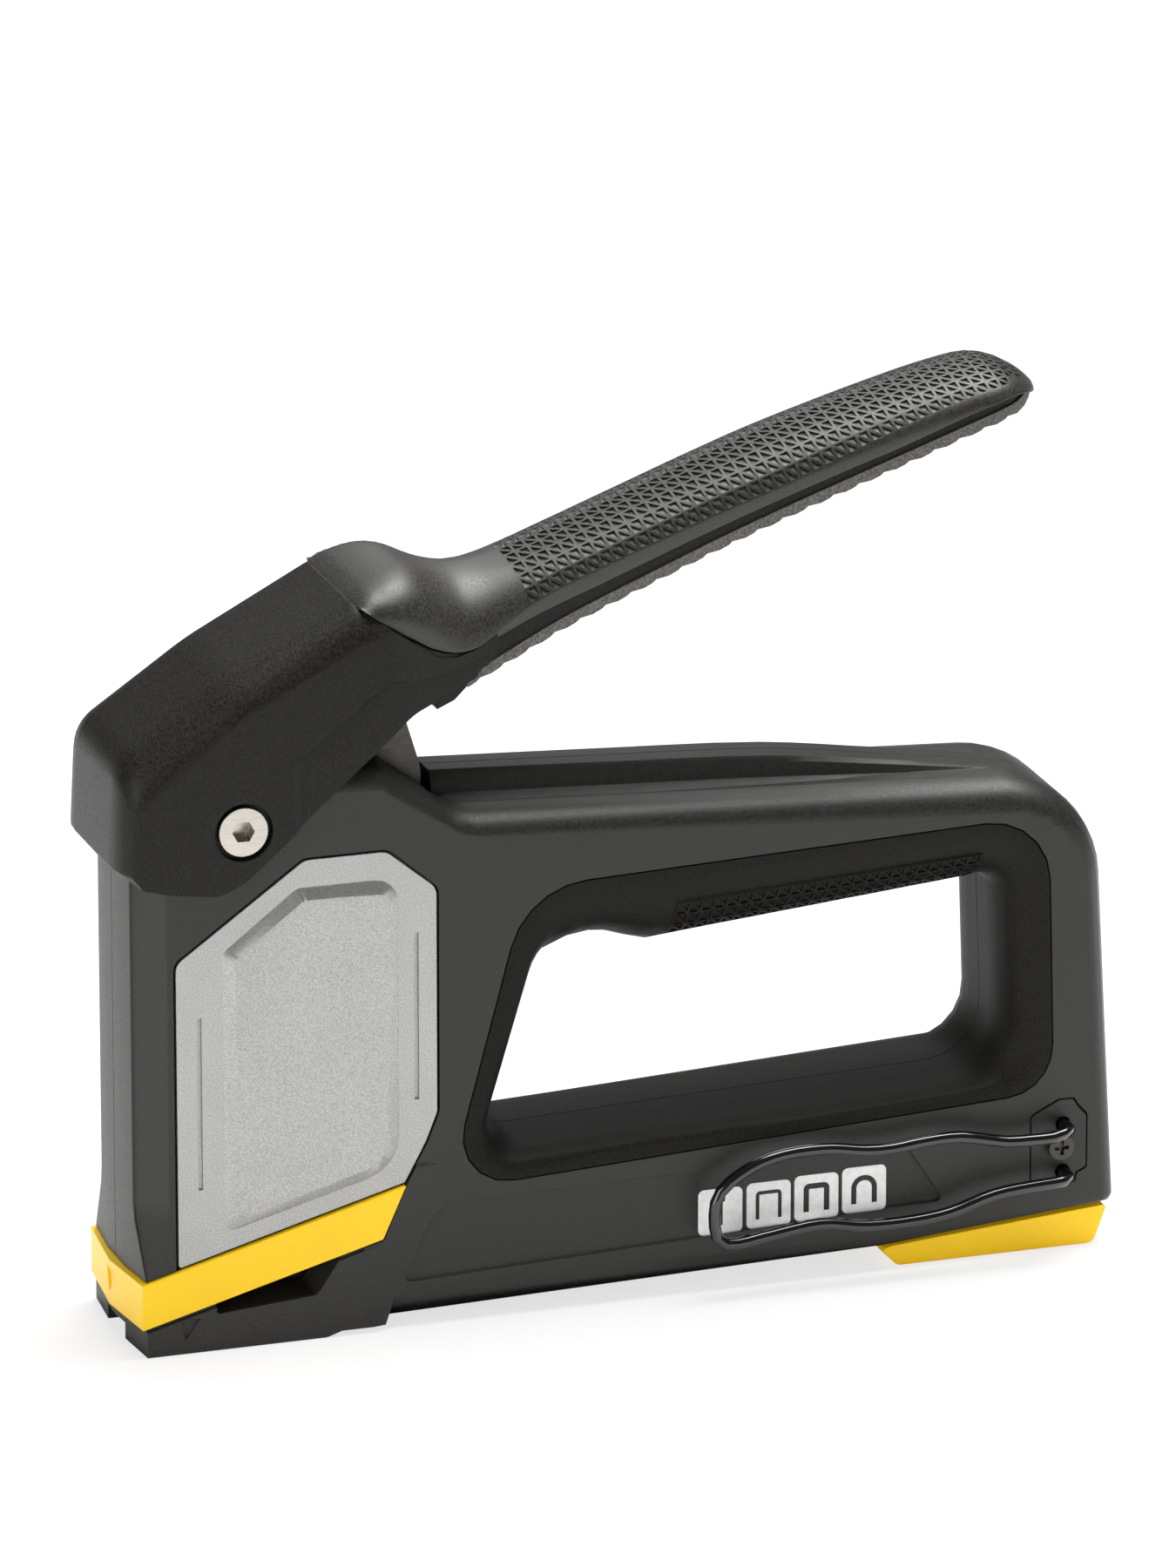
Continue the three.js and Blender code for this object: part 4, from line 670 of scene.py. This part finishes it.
@dataclass(frozen=True)
class GripShape:
    """The grip's outside: square-shouldered at the hood, rounder to the rear, closed at the tip.

    It narrows, rounds, leans and rights itself between the two places of each such pair.
    """

    tip: float = GRIP_STRAIGHT[1]
    tip_length: float = 14.5
    hood_half: float = 20.6
    grip_half: float = 14.0
    narrows: Pair = (48.0, 80.0)
    hood_edge: Pair = (9.0, 7.65)
    rounds: Pair = (46.0, 92.0)
    round_steps: int = 24
    least_rise: float = 0.4
    least_skirt: float = 0.15
    undercut: float = 0.28
    tuck: float = 0.8
    tuck_reach: float = 2.2
    lean: float = 0.34
    lean_passes: int = 3
    leans: Pair = (62.0, 79.0)
    rights: Pair = (184.0, 192.0)
    skin: float = 2.0
    least_half: float = 0.3
    least_height: float = 0.1
    least_core: float = 0.02
    crest: SmoothLine = SmoothLine((
        (44, 151.5), (50, 154.5), (55, 156.0), (59, 155.9), (64, 154.1), (67, 153.5), (70, 153.4),
        (75, 153.8), *on_grip((0, 156.1), (0.193, 163.6), (0.47, 174.6), (0.746, 183),
                              (0.875, 185.7), (0.921, 185.3), (0.953, 183.8), (0.978, 182),
                              (1, 179.6)),
    ))
    groove: SmoothLine = SmoothLine((
        (44, 151), (54, 144.6), (62, 140.2), (70, 139.4),
        *on_grip((0, 147.6), (0.138, 153.6), (0.341, 161.6), (0.589, 170.2), (0.792, 176.6),
                 (0.921, 179.8), (1, 177.8)),
    ))
    chevron: SmoothLine = SmoothLine(((44.75, 152.55), (62.72, 140.02)))
    drop: SmoothLine = SmoothLine((
        (45, -0.6), (54, -1.2), (58, -1.4), (61, -1.05), (65, -0.85), (68.5, -0.65), (73, 0.4),
        (77.5, 1.7), (81.2, 2.5), (85.6, 3.05), (96, 3.3), (112, 3.1), (125, 2.75), (140, 2.3),
        (150, 2.0), (161, 1.7), (172, 0.6), (180, 0.0), (186, -0.7), (192.6, -0.9),
    ))

    def skirt(self, x: float) -> float:
        """How far the smooth skirt hangs below the shoulder at x."""
        return max(self.drop.at(x), self.least_skirt)

    def shoulder(self, x: float) -> float:
        """Height of the shoulder's foot at x, over the groove and behind the chevron."""
        groove = self.groove.at(x) + PART_GAP / 2
        return max(groove - min(self.drop.at(x), 0.0), self.chevron.at(x))

    def foot(self, x: float) -> float:
        """Height of the grip's lower edge at x."""
        return self.shoulder(x) - self.skirt(x)

    def half_width(self, x: float) -> float:
        """Half width of the grip, which closes in a round at the tip.

        Args:
            x: Millimetres behind the front of the nose.

        Returns:
            The half width.
        """
        to_tip = min(1.0, max(0.0, (self.tip - x) / self.tip_length))
        straight = mix(self.hood_half, self.grip_half, smooth(x, *self.narrows))
        return straight * math.sqrt(1.0 - (1.0 - to_tip) ** 2)

    def section(self, x: float) -> Outline:
        """One side's outline at x, from the shoulder's foot to the crest.

        Args:
            x: Millimetres behind the front of the nose.

        Returns:
            Points of distance from the centre plane and height.
        """
        half = self.half_width(x)
        low = self.groove.at(x) + PART_GAP / 2
        high = max(self.crest.at(x), low + self.least_rise)
        share = smooth(x, *self.rounds)
        across = min(mix(self.hood_edge[0], self.hood_half, share), half)
        deep = min(mix(self.hood_edge[1], self.hood_half, share), high - low)
        outline = [(half, low)]
        for step in range(self.round_steps + 1):
            turn = math.pi / 2 * step / self.round_steps
            outline.append((half - across * (1 - math.cos(turn)),
                            high - deep * (1 - math.sin(turn))))
        outline.append((0.0, high))
        floor = self.shoulder(x)
        kept = [point for point in outline if point[1] > floor]
        below = [point for point in outline if point[1] <= floor]
        if below and kept:
            (y0, z0), (y1, z1) = below[-1], kept[0]
            kept.insert(0, (mix(y0, y1, (floor - z0) / (z1 - z0)), floor))
        return kept or outline[-2:]

    def outer(self, station: float, share: float) -> Corner:
        """A point of the surface on a cross line that leans back a little as it goes down.

        Args:
            station: Where the cross line starts on the crest.
            share: -1 for the skirt's edge, 0 for the shoulder's foot, 1 for the crest.

        Returns:
            Its X, distance from the centre plane and height.
        """
        upright = 1.0 - smooth(station, *self.rights)
        lean = self.lean * smooth(station, *self.leans) * upright
        x, y, z = station, 0.0, 0.0
        for _ in range(self.lean_passes):
            y, z = along(self.section(x), max(0.0, share))
            hanging = self.skirt(x) * max(0.0, -share)
            y, z = y * (1.0 - hanging * self.undercut / self.grip_half), z - hanging
            x = station + lean * (self.crest.at(station) - z)
        return self.tucked((x, y, z))

    def tucked(self, point: Corner) -> Corner:
        """Draws a point in along the chevron, where the grip's front edge is chamfered.

        Args:
            point: The surface's point.

        Returns:
            The point, nearer the middle close to the chevron.
        """
        x, y, z = point
        behind = (z - self.chevron.at(x)) / math.hypot(1.0, self.chevron.slope(0))
        depth = self.tuck * (1.0 - min(1.0, max(0.0, behind / self.tuck_reach)))
        low, high = self.foot(x), self.crest.at(x)
        return x, y * (1.0 - depth / self.half_width(x)), z - depth * (z - low) / (high - low)

    def inner(self, point: Corner) -> Corner:
        """The point under the skin that belongs to a point of the surface.

        Args:
            point: The outer point.

        Returns:
            The inner point.
        """
        x, y, z = point
        half, low = self.half_width(x), self.foot(x)
        high = max(self.crest.at(x), low + self.least_height)
        across = max(half - self.skin, self.least_half) / half
        up = max(high - self.skin - low, self.least_core) / (high - low)
        return x, y * across, low + (z - low) * up


@dataclass
class GripCover:
    """The lever's soft grip: a smooth skin whose straight is filled with triangular pockets."""

    material: Material
    shape: GripShape = GripShape()
    pockets: Pockets = Pockets()
    front: float = 45.05
    front_columns: int = 24
    front_cuts: int = 2
    behind: tuple[float, ...] = (189.9, 191.0, 191.8, 192.45)
    first: float = 80.2
    last: float = 188.6
    columns: int = 42
    border_steps: int = 3
    least_border: float = 0.02
    border_growth: float = 0.16
    border_grows: Pair = (128.0, 178.0)
    trims: tuple[int, ...] = (2, 0, 0, 0, 1)

    def stations(self) -> list[float]:
        """Where the cross lines start on the crest, from front to rear.

        Returns:
            Their X in millimetres.
        """
        count = self.front_columns
        collar = [mix(self.front, self.first, k / count) for k in range(count)]
        straight = [mix(self.first, self.last, k / self.columns) for k in range(self.columns + 1)]
        return [*collar, *straight, *self.behind]

    def shares(self, station: float) -> list[float]:
        """Shares of a section for the skirt's edge, the shoulder's foot and the pocket rows.

        Args:
            station: Where the section's cross line starts on the crest.

        Returns:
            The shares, from the skirt's edge to the crest.
        """
        border = self.least_border + self.border_growth * smooth(station, *self.border_grows)
        rows = len(self.trims)
        return [-1.0, 0.0, border / 2, *(mix(border, 1.0, k / rows) for k in range(rows + 1))]

    def spot(self, station: float, row: float) -> Corner:
        """The surface's point at a station and a row.

        Args:
            station: Where the cross line starts on the crest.
            row: The row, from the lower edge on the left over the crest to the right one.

        Returns:
            Its X, Y and height in millimetres.
        """
        shares = self.shares(station)
        top = len(shares) - 1
        level = min(row, 2 * top - row)
        below = min(int(level), top - 1)
        share = mix(shares[below], shares[below + 1], level - below)
        x, y, z = self.shape.outer(station, share)
        return x, y if row > top else -y, z

    def build(self) -> None:
        """Makes the cover in place of the plain grip."""
        stations = self.stations()
        top = self.border_steps + len(self.trims)
        sheet = Sheet(
            len(stations) - 1, 2 * top,
            lambda column, row: place(*self.spot(stations[column], row)),
            lambda column, row: place(*self.shape.inner(self.spot(stations[column], row))),
            self.front_columns, self.front_cuts)
        sheet.lay()
        cells = []
        for row, trim in enumerate(self.trims, self.border_steps):
            for column in range(self.front_columns, self.front_columns + self.columns - trim):
                cells += [((column, row), True), ((column, 2 * top - 1 - row), False)]
        self.pockets.sink(sheet, cells)
        cover = finished("grip_cover", sheet.mesh, "lever", self.material)
        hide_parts("lever_grip")


def lofted(rings: Sequence[Sequence[Vector]]) -> Mesh:
    """A closed piece through rings of the same number of points.

    Args:
        rings: Each ring's points in order.

    Returns:
        The piece's mesh.
    """
    mesh = bmesh.new()
    loops = []
    for ring in rings:
        verts = [mesh.verts.new(point) for point in ring]
        loops.append([mesh.edges.new((verts[k - 1], verts[k])) for k in range(len(verts))])
    for first, second in zip(loops, loops[1:]):
        bmesh.ops.bridge_loops(mesh, edges=first + second)
    bmesh.ops.holes_fill(mesh, edges=loops[0] + loops[-1], sides=0)
    bmesh.ops.recalc_face_normals(mesh, faces=mesh.faces)
    return mesh


@dataclass
class FingerStrip:
    """The notched strip along the lever's underside, and the plain band between it and the grip.

    A notch is drawn by shares of the pitch and the edge's rise at each.
    """

    strip: Material
    spacer: Material
    shape: GripShape = GripShape()
    underside: SmoothLine = SmoothLine((
        (58, 127.9), (64, 130.5), (69, 131.6), (73.6, 133.3), (79, 135.7), (89, 140.7),
        (100, 145.4), (111, 149.8), (122, 154.2), (138, 160.1), (155, 166), (166, 169.8),
        (177, 173.6), (182.5, 175.3), (185.6, 176), (188.1, 177.1), (189.6, 178.3), (190.8, 180),
    ))
    front: float = 69.6
    pitch: float = 5.3
    notches: int = 22
    notch: tuple[Pair, ...] = ((0.0, 0.0), (0.36, 0.16), (0.5, 0.55))
    tail: tuple[float, ...] = (186.0, 188.1, 189.6)
    tall: float = 2.5
    least_tall: float = 0.3
    setback: float = 1.3
    band_ends: Pair = (57.0, 188.0)
    band_steps: int = 40
    band_sunk: float = 1.0
    band_overlap: float = 0.4
    band_drops: Pair = (66.0, 74.0)
    band_setbacks: Pair = (0.25, 1.75)
    band_tucks: Pair = (64.0, 80.0)
    band_least: float = 0.2

    def ring(self, x: float, setback: float, low: float, high: float) -> list[Vector]:
        """A rectangular ring across the lever."""
        half = max(self.shape.half_width(x) - setback, self.shape.least_half)
        return [place(x, y, z) for y, z in ((-half, low), (half, low), (half, high), (-half, high))]

    def notched(self) -> list[list[Vector]]:
        """Cuts shallow notches along the strip's lower edge.

        Returns:
            The strip's rings.
        """
        places = [(self.front + (k + part) * self.pitch, rise)
                  for k in range(self.notches) for part, rise in self.notch]
        rings = []
        for x, rise in [*places, *((x, 0.0) for x in self.tail)]:
            low = self.underside.at(x) + rise
            high = min(self.underside.at(x) + self.tall, self.shape.foot(x) - PART_GAP)
            rings.append(self.ring(x, self.setback, low, max(high, low + self.least_tall)))
        return rings

    def band(self) -> list[list[Vector]]:
        """Fills the height between the strip and the grip.

        Returns:
            The band's rings.
        """
        rings = []
        for k in range(self.band_steps + 1):
            x = mix(*self.band_ends, k / self.band_steps)
            inside_frame = self.shape.groove.at(x) - self.band_sunk
            on_strip = self.underside.at(x) + self.tall - self.band_overlap
            low = mix(inside_frame, on_strip, smooth(x, *self.band_drops))
            high = max(self.shape.foot(x) - PART_GAP, low + self.band_least)
            setback = mix(*self.band_setbacks, smooth(x, *self.band_tucks))
            rings.append(self.ring(x, setback, low, high))
        return rings

    def build(self) -> None:
        """Makes the strip and the band above it in place of the plain underside."""
        strip = finished("finger_strip", lofted(self.notched()), "lever", self.strip, 12.0)
        band = finished("strip_spacer", lofted(self.band()), "lever", self.spacer)
        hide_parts("lever_underside")
        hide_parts("lever_underside")


@dataclass
class LiningPad:
    """Rows of pockets on the lining under the handle, where the fingers close, on one flank."""

    material: Material
    side: Side
    pockets: Pockets = Pockets(rib=0.27, draft=0.04, depth=0.8, slope=0.1)
    front: float = 112.5
    rear: float = 177.0
    columns: int = 24
    turns: tuple[float, ...] = (18.0, 30.0, 42.0, 54.0)
    rim: SmoothLine = SmoothLine(((82.7, 87.0), (188.4, 90.8)))
    roll: SmoothLine = SmoothLine(((82.7, 17.8), (188.4, 12.0)))
    middle: float = 1.0
    beyond: float = 1.5
    proud: float = 0.45
    sunk: float = 0.6
    skirt: float = 0.8
    skirt_turn: float = 2.4

    def spot(self, tree: BVHTree, x: float, turn: float, lift: float) -> Vector:
        """A point above or under the lining's surface, at a turn of its roll-over.

        Args:
            tree: The lining's faces.
            x: Millimetres behind the front of the nose.
            turn: Degrees from the flank towards the middle.
            lift: Millimetres away from the lining's surface.

        Returns:
            The point.
        """
        angle, sign = math.radians(turn), self.side.value
        middle = place(x, sign * self.middle, self.rim.at(x))
        outward = Vector((0.0, sign * (FLANK - self.middle) * math.cos(angle),
                          -self.roll.at(x) * math.sin(angle)))
        start = middle + outward * MM * self.beyond
        return tree.ray_cast(start, middle - start)[0] + outward.normalized() * lift * MM

    def build(self) -> None:
        """Makes the pad on the lining's own surface, with a skirt that runs under it."""
        name = self.side.name.lower()
        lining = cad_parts[f"grip_liner_{name}"].data
        tree = BVHTree.FromPolygons([vert.co for vert in lining.vertices],
                                    [face.vertices for face in lining.polygons])
        rows = len(self.turns) - 1
        ends = self.front - self.skirt, self.rear + self.skirt
        turns = self.turns[-1] + self.skirt_turn, self.turns[0] - self.skirt_turn
        sheet = Sheet(
            self.columns, rows,
            lambda column, row: self.spot(tree, mix(self.front, self.rear, column / self.columns),
                                          self.turns[rows - round(row)], self.proud),
            lambda column, row: self.spot(tree, mix(*ends, column / self.columns),
                                          mix(*turns, row / rows), -self.sunk))
        sheet.lay()
        self.pockets.sink(sheet, [(spot, True) for spot in sheet.cells])
        finished(f"lining_pad_{name}", sheet.mesh, "housing", self.material)


class Pictogram(Enum):
    """What a printed square shows, by its stroke and the rounding of a staple's shoulders."""

    BRAD = (1.0, 0.0)
    FINE_STAPLE = (0.75, 0.9)
    STRONG_STAPLE = (1.15, 1.2)
    ROUND_STAPLE = (1.1, 2.65)


@dataclass
class Label:
    """Four white squares with fastener pictograms, printed in the left flank's label panel."""

    white: Material
    dark: Material
    lefts: tuple[float, ...] = (117.0, 127.3, 137.5, 147.7)
    lows: tuple[float, ...] = (11.8, 12.1, 12.5, 13.0)
    across: float = 9.4
    up: float = 9.7
    corner: float = 1.2
    corner_steps: int = 6
    panel: float = FLANK - 0.7
    ink: float = 0.04
    sunk: float = 0.1
    sign_half: float = 2.75
    sign_tall: float = 3.0
    least_round: float = 0.2
    gap: float = 0.1

    def build(self) -> None:
        """Prints the four squares and their pictograms."""
        squares, signs = bmesh.new(), bmesh.new()
        for picture, left, low in zip(Pictogram, self.lefts, self.lows):
            box = self.box((left, left + self.across), (low, low + self.up), self.corner)
            self.stamp(squares, box, self.ink)
            for shape in self.shapes(picture, left + self.across / 2, low + self.up / 2):
                self.stamp(signs, shape, 2 * self.ink)
        finished("label_squares_left", squares, "housing", self.white)
        finished("label_pictograms_left", signs, "housing", self.dark)

    def box(self, wide: Pair, tall: Pair, rounding: float) -> list[Corner]:
        """Corners of an upright box, with their rounding."""
        (left, right), (low, high) = wide, tall
        return [(left, low, rounding), (right, low, rounding), (right, high, rounding),
                (left, high, rounding)]

    def stamp(self, mesh: Mesh, corners: Sequence[Corner], proud: float) -> None:
        """Lays a thin slab with rounded corners on the panel.

        Args:
            mesh: The mesh that takes the slab.
            corners: X, height and rounding of each corner.
            proud: Millimetres that it stands out of the panel.
        """
        known = set(mesh.faces)
        verts = [mesh.verts.new(place(x, -(self.panel + proud), z)) for x, z, _ in corners]
        mesh.faces.new(verts)
        for vert, (_, _, radius) in zip(verts, corners):
            if radius > 0:
                bmesh.ops.bevel(mesh, geom=[vert], offset=radius * MM, affect="VERTICES",
                                segments=self.corner_steps, profile=0.5, material=-1)
        face = next(face for face in mesh.faces if face not in known)
        copied = bmesh.ops.extrude_face_region(
            mesh, geom=[face, *face.edges, *face.verts], use_keep_orig=True)
        back = [item for item in copied["geom"] if isinstance(item, Vert)]
        inward = Vector((0.0, (proud + self.sunk) * MM, 0.0))
        bmesh.ops.translate(mesh, verts=back, vec=inward)
        bmesh.ops.recalc_face_normals(mesh, faces=mesh.faces)

    def shapes(self, picture: Pictogram, x: float, z: float) -> list[list[Corner]]:
        """The slabs of one pictogram.

        Args:
            picture: What to show.
            x: Where the square's middle is along the tacker.
            z: Its height.

        Returns:
            For each slab its corners, with their roundings.
        """
        stroke, rounding = picture.value
        foot, crown = z - self.sign_tall, z + self.sign_tall
        if picture is Pictogram.BRAD:
            neck, half = crown - stroke, stroke / 2
            return [self.box((x - stroke, x + stroke), (neck, crown), self.least_round),
                    self.box((x - half, x + half), (foot, neck - self.gap), 0)]
        inner, half = max(rounding - stroke, self.least_round), self.sign_half
        left, right = x - half + stroke, x + half - stroke
        return [[(x - half, foot, 0), (left, foot, 0), (left, crown - stroke, inner),
                 (right, crown - stroke, inner), (right, foot, 0), (x + half, foot, 0),
                 (x + half, crown, rounding), (x - half, crown, rounding)]]


# ---- sub-assemblies


@dataclass
class Casing:
    """The two moulded halves, their lining, band, plates and screws."""

    finishes: Finishes
    lining_crease: float = 40.0
    band_round: float = 0.7
    band_round_steps: int = 3
    band_crease: float = 25.0

    def build(self) -> None:
        """Dresses the casing's nodes."""
        for side in Side:
            name = side.name.lower()
            dress(f"body_shell_{name}", self.finishes.casing)
            dress(f"grip_liner_{name}", self.finishes.lining, self.lining_crease)
            dress(f"side_plate_{name}", self.finishes.silver)
            LiningPad(self.finishes.lining, side).build()
        Label(self.finishes.ink, self.finishes.sign).build()
        dress("nose_band", self.finishes.yellow)
        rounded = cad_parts["nose_band"].modifiers.new("rounded_edges", "BEVEL")
        rounded.width = self.band_round * MM
        rounded.segments = self.band_round_steps
        rounded.limit_method = "ANGLE"
        rounded.angle_limit = math.radians(self.band_crease)
        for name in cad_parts:
            if name.startswith("shell_screw"):
                dress(name, self.finishes.dark)


@dataclass
class Lever:
    """The hooded lever with its soft grip, finger strip and push plate."""

    finishes: Finishes

    def build(self) -> None:
        """Dresses the lever's nodes."""
        dress("lever_frame", self.finishes.lever)
        GripCover(self.finishes.soft).build()
        FingerStrip(self.finishes.strip, self.finishes.lever).build()
        dress("push_plate", self.finishes.dark)


@dataclass
class Mechanism:
    """The pivot, rocker, striker, spring and magazine."""

    finishes: Finishes

    def build(self) -> None:
        """Dresses the mechanism's nodes."""
        kinds = self.finishes
        for material, names in (
            (kinds.bright, ("pivot_bolt", "driver_blade", "drive_guide", "feed_rod")),
            (kinds.dark, ("pivot_nut", "rocker_arm", "striker_carrier", "spring_cap", "pusher")),
            (kinds.spring, ("pivot_bush", "rocker_pin", "power_spring", "magazine_channel",
                            "staple_rail", "pusher_spring")),
            (kinds.rubber, ("bumper",)),
            (kinds.amber, ("heel_catch",)),
        ):
            for name in names:
                dress(name, material)


@dataclass
class BeltHook:
    """The sprung wire hook with its retainer and screw."""

    finishes: Finishes
    wire_crease: float = 50.0

    def build(self) -> None:
        """Dresses the hook's nodes."""
        dress("belt_hook", self.finishes.wire, self.wire_crease)
        dress("hook_retainer", self.finishes.casing)
        dress("hook_screw", self.finishes.dark)


# ---- studio


@dataclass(frozen=True)
class SoftBox:
    """A square area lamp that faces the tacker, placed and sized in metres, in watts."""

    name: str
    place: Corner
    size: float
    power: float

    def hang(self, target: Vector) -> None:
        """Hangs the lamp.

        Args:
            target: What it faces.
        """
        lamp = bpy.data.lights.new(self.name, "AREA")
        lamp.shape = "SQUARE"
        lamp.size = self.size
        lamp.energy = self.power
        holder = bpy.data.objects.new(self.name, lamp)
        holder.location = self.place
        facing = target - Vector(self.place)
        holder.rotation_euler = facing.to_track_quat("-Z", "Y").to_euler()
        bpy.context.scene.collection.objects.link(holder)


@dataclass
class Studio:
    """Pale floor, white surroundings, soft lamps and the camera.

    The floor's sizes and the camera's clips are in metres.
    """

    aim: Corner = (99.312, 0.0, 104.161)
    turn: float = 18.5
    tilt: float = 18.2
    distance: float = 2500.0
    lens: float = 287.5
    sensor: float = 36.0
    clips: Pair = (0.05, 60.0)
    floor_half: float = 12.0
    floor_drop: float = 0.0002
    floor_colour: Colour = (0.86, 0.86, 0.86)
    floor_glow: float = 0.72
    world_light: float = 0.18
    lamps: tuple[SoftBox, ...] = (
        SoftBox("key_lamp", (0.45, 0.16, 1.7), 1.2, 60.0),
        SoftBox("fill_lamp", (-1.5, -1.1, 0.6), 1.1, 16.0),
        SoftBox("rim_lamp", (0.3, 1.2, 1.2), 0.8, 5.0),
    )

    def build(self) -> None:
        """Makes the camera first, then the floor, the world and the lamps."""
        self.camera()
        self.floor()
        self.world()
        for lamp in self.lamps:
            lamp.hang(place(*self.aim))

    def camera(self) -> None:
        """Places the camera at the viewing angle."""
        turn, tilt = math.radians(self.turn), math.radians(self.tilt)
        back = Vector((-math.sin(turn) * math.cos(tilt), -math.cos(turn) * math.cos(tilt),
                       math.sin(tilt)))
        data = bpy.data.cameras.new("camera")
        data.lens = self.lens
        data.sensor_width = self.sensor
        data.clip_start, data.clip_end = self.clips
        camera = bpy.data.objects.new("camera", data)
        camera.location = place(*self.aim) + back * self.distance * MM
        camera.rotation_euler = (-back).to_track_quat("-Z", "Y").to_euler()
        bpy.context.scene.collection.objects.link(camera)
        bpy.context.scene.camera = camera

    def floor(self) -> None:
        """Lays the pale floor that the tacker stands on."""
        mesh = bmesh.new()
        bmesh.ops.create_grid(mesh, x_segments=1, y_segments=1, size=self.floor_half)
        data = bpy.data.meshes.new("floor")
        mesh.to_mesh(data)
        mesh.free()
        pale = bpy.data.materials.new("pale_floor")
        graph = Graph(pale)
        matt = graph.add("ShaderNodeBsdfDiffuse", {"Color": (*self.floor_colour, 1.0)})
        glow = graph.add("ShaderNodeEmission", {"Color": (1.0, 1.0, 1.0, 1.0)})
        seen = graph.add("ShaderNodeLightPath").outputs["Is Camera Ray"]
        mixed = graph.add("ShaderNodeMixShader", {
            "Fac": graph.spread(seen, 0.0, self.floor_glow),
            1: matt.outputs["BSDF"], 2: glow.outputs["Emission"]})
        graph.join(mixed.outputs["Shader"], graph.output.inputs["Surface"])
        data.materials.append(pale)
        floor = bpy.data.objects.new("floor", data)
        floor.location = (0.0, 0.0, -self.floor_drop)
        bpy.context.scene.collection.objects.link(floor)

    def world(self) -> None:
        """Makes plain white surroundings whose light is weaker than they look."""
        world = bpy.data.worlds.new("studio")
        graph = Graph(world, "World")
        path = graph.add("ShaderNodeLightPath").outputs
        seen = graph.add("ShaderNodeMath", {
            0: path["Is Camera Ray"], 1: path["Is Transmission Ray"]}, operation="MAXIMUM")
        strength = graph.spread(seen.outputs[0], self.world_light, 1.0)
        background = graph.add("ShaderNodeBackground", {"Strength": strength})
        graph.join(background.outputs["Background"], graph.output.inputs["Surface"])
        bpy.context.scene.world = world


def main() -> None:
    """Builds the studio and dresses every sub-assembly in order."""
    logging.basicConfig(level=logging.INFO, format="%(name)s %(message)s")
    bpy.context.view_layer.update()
    bpy.context.scene.view_settings.view_transform = "Standard"
    Studio().build()
    finishes = Finishes()
    for assembly in (Casing(finishes), Lever(finishes), Mechanism(finishes), BeltHook(finishes)):
        assembly.build()
        log.info("%s is dressed", type(assembly).__name__)


if __name__ == "__main__":
    main()
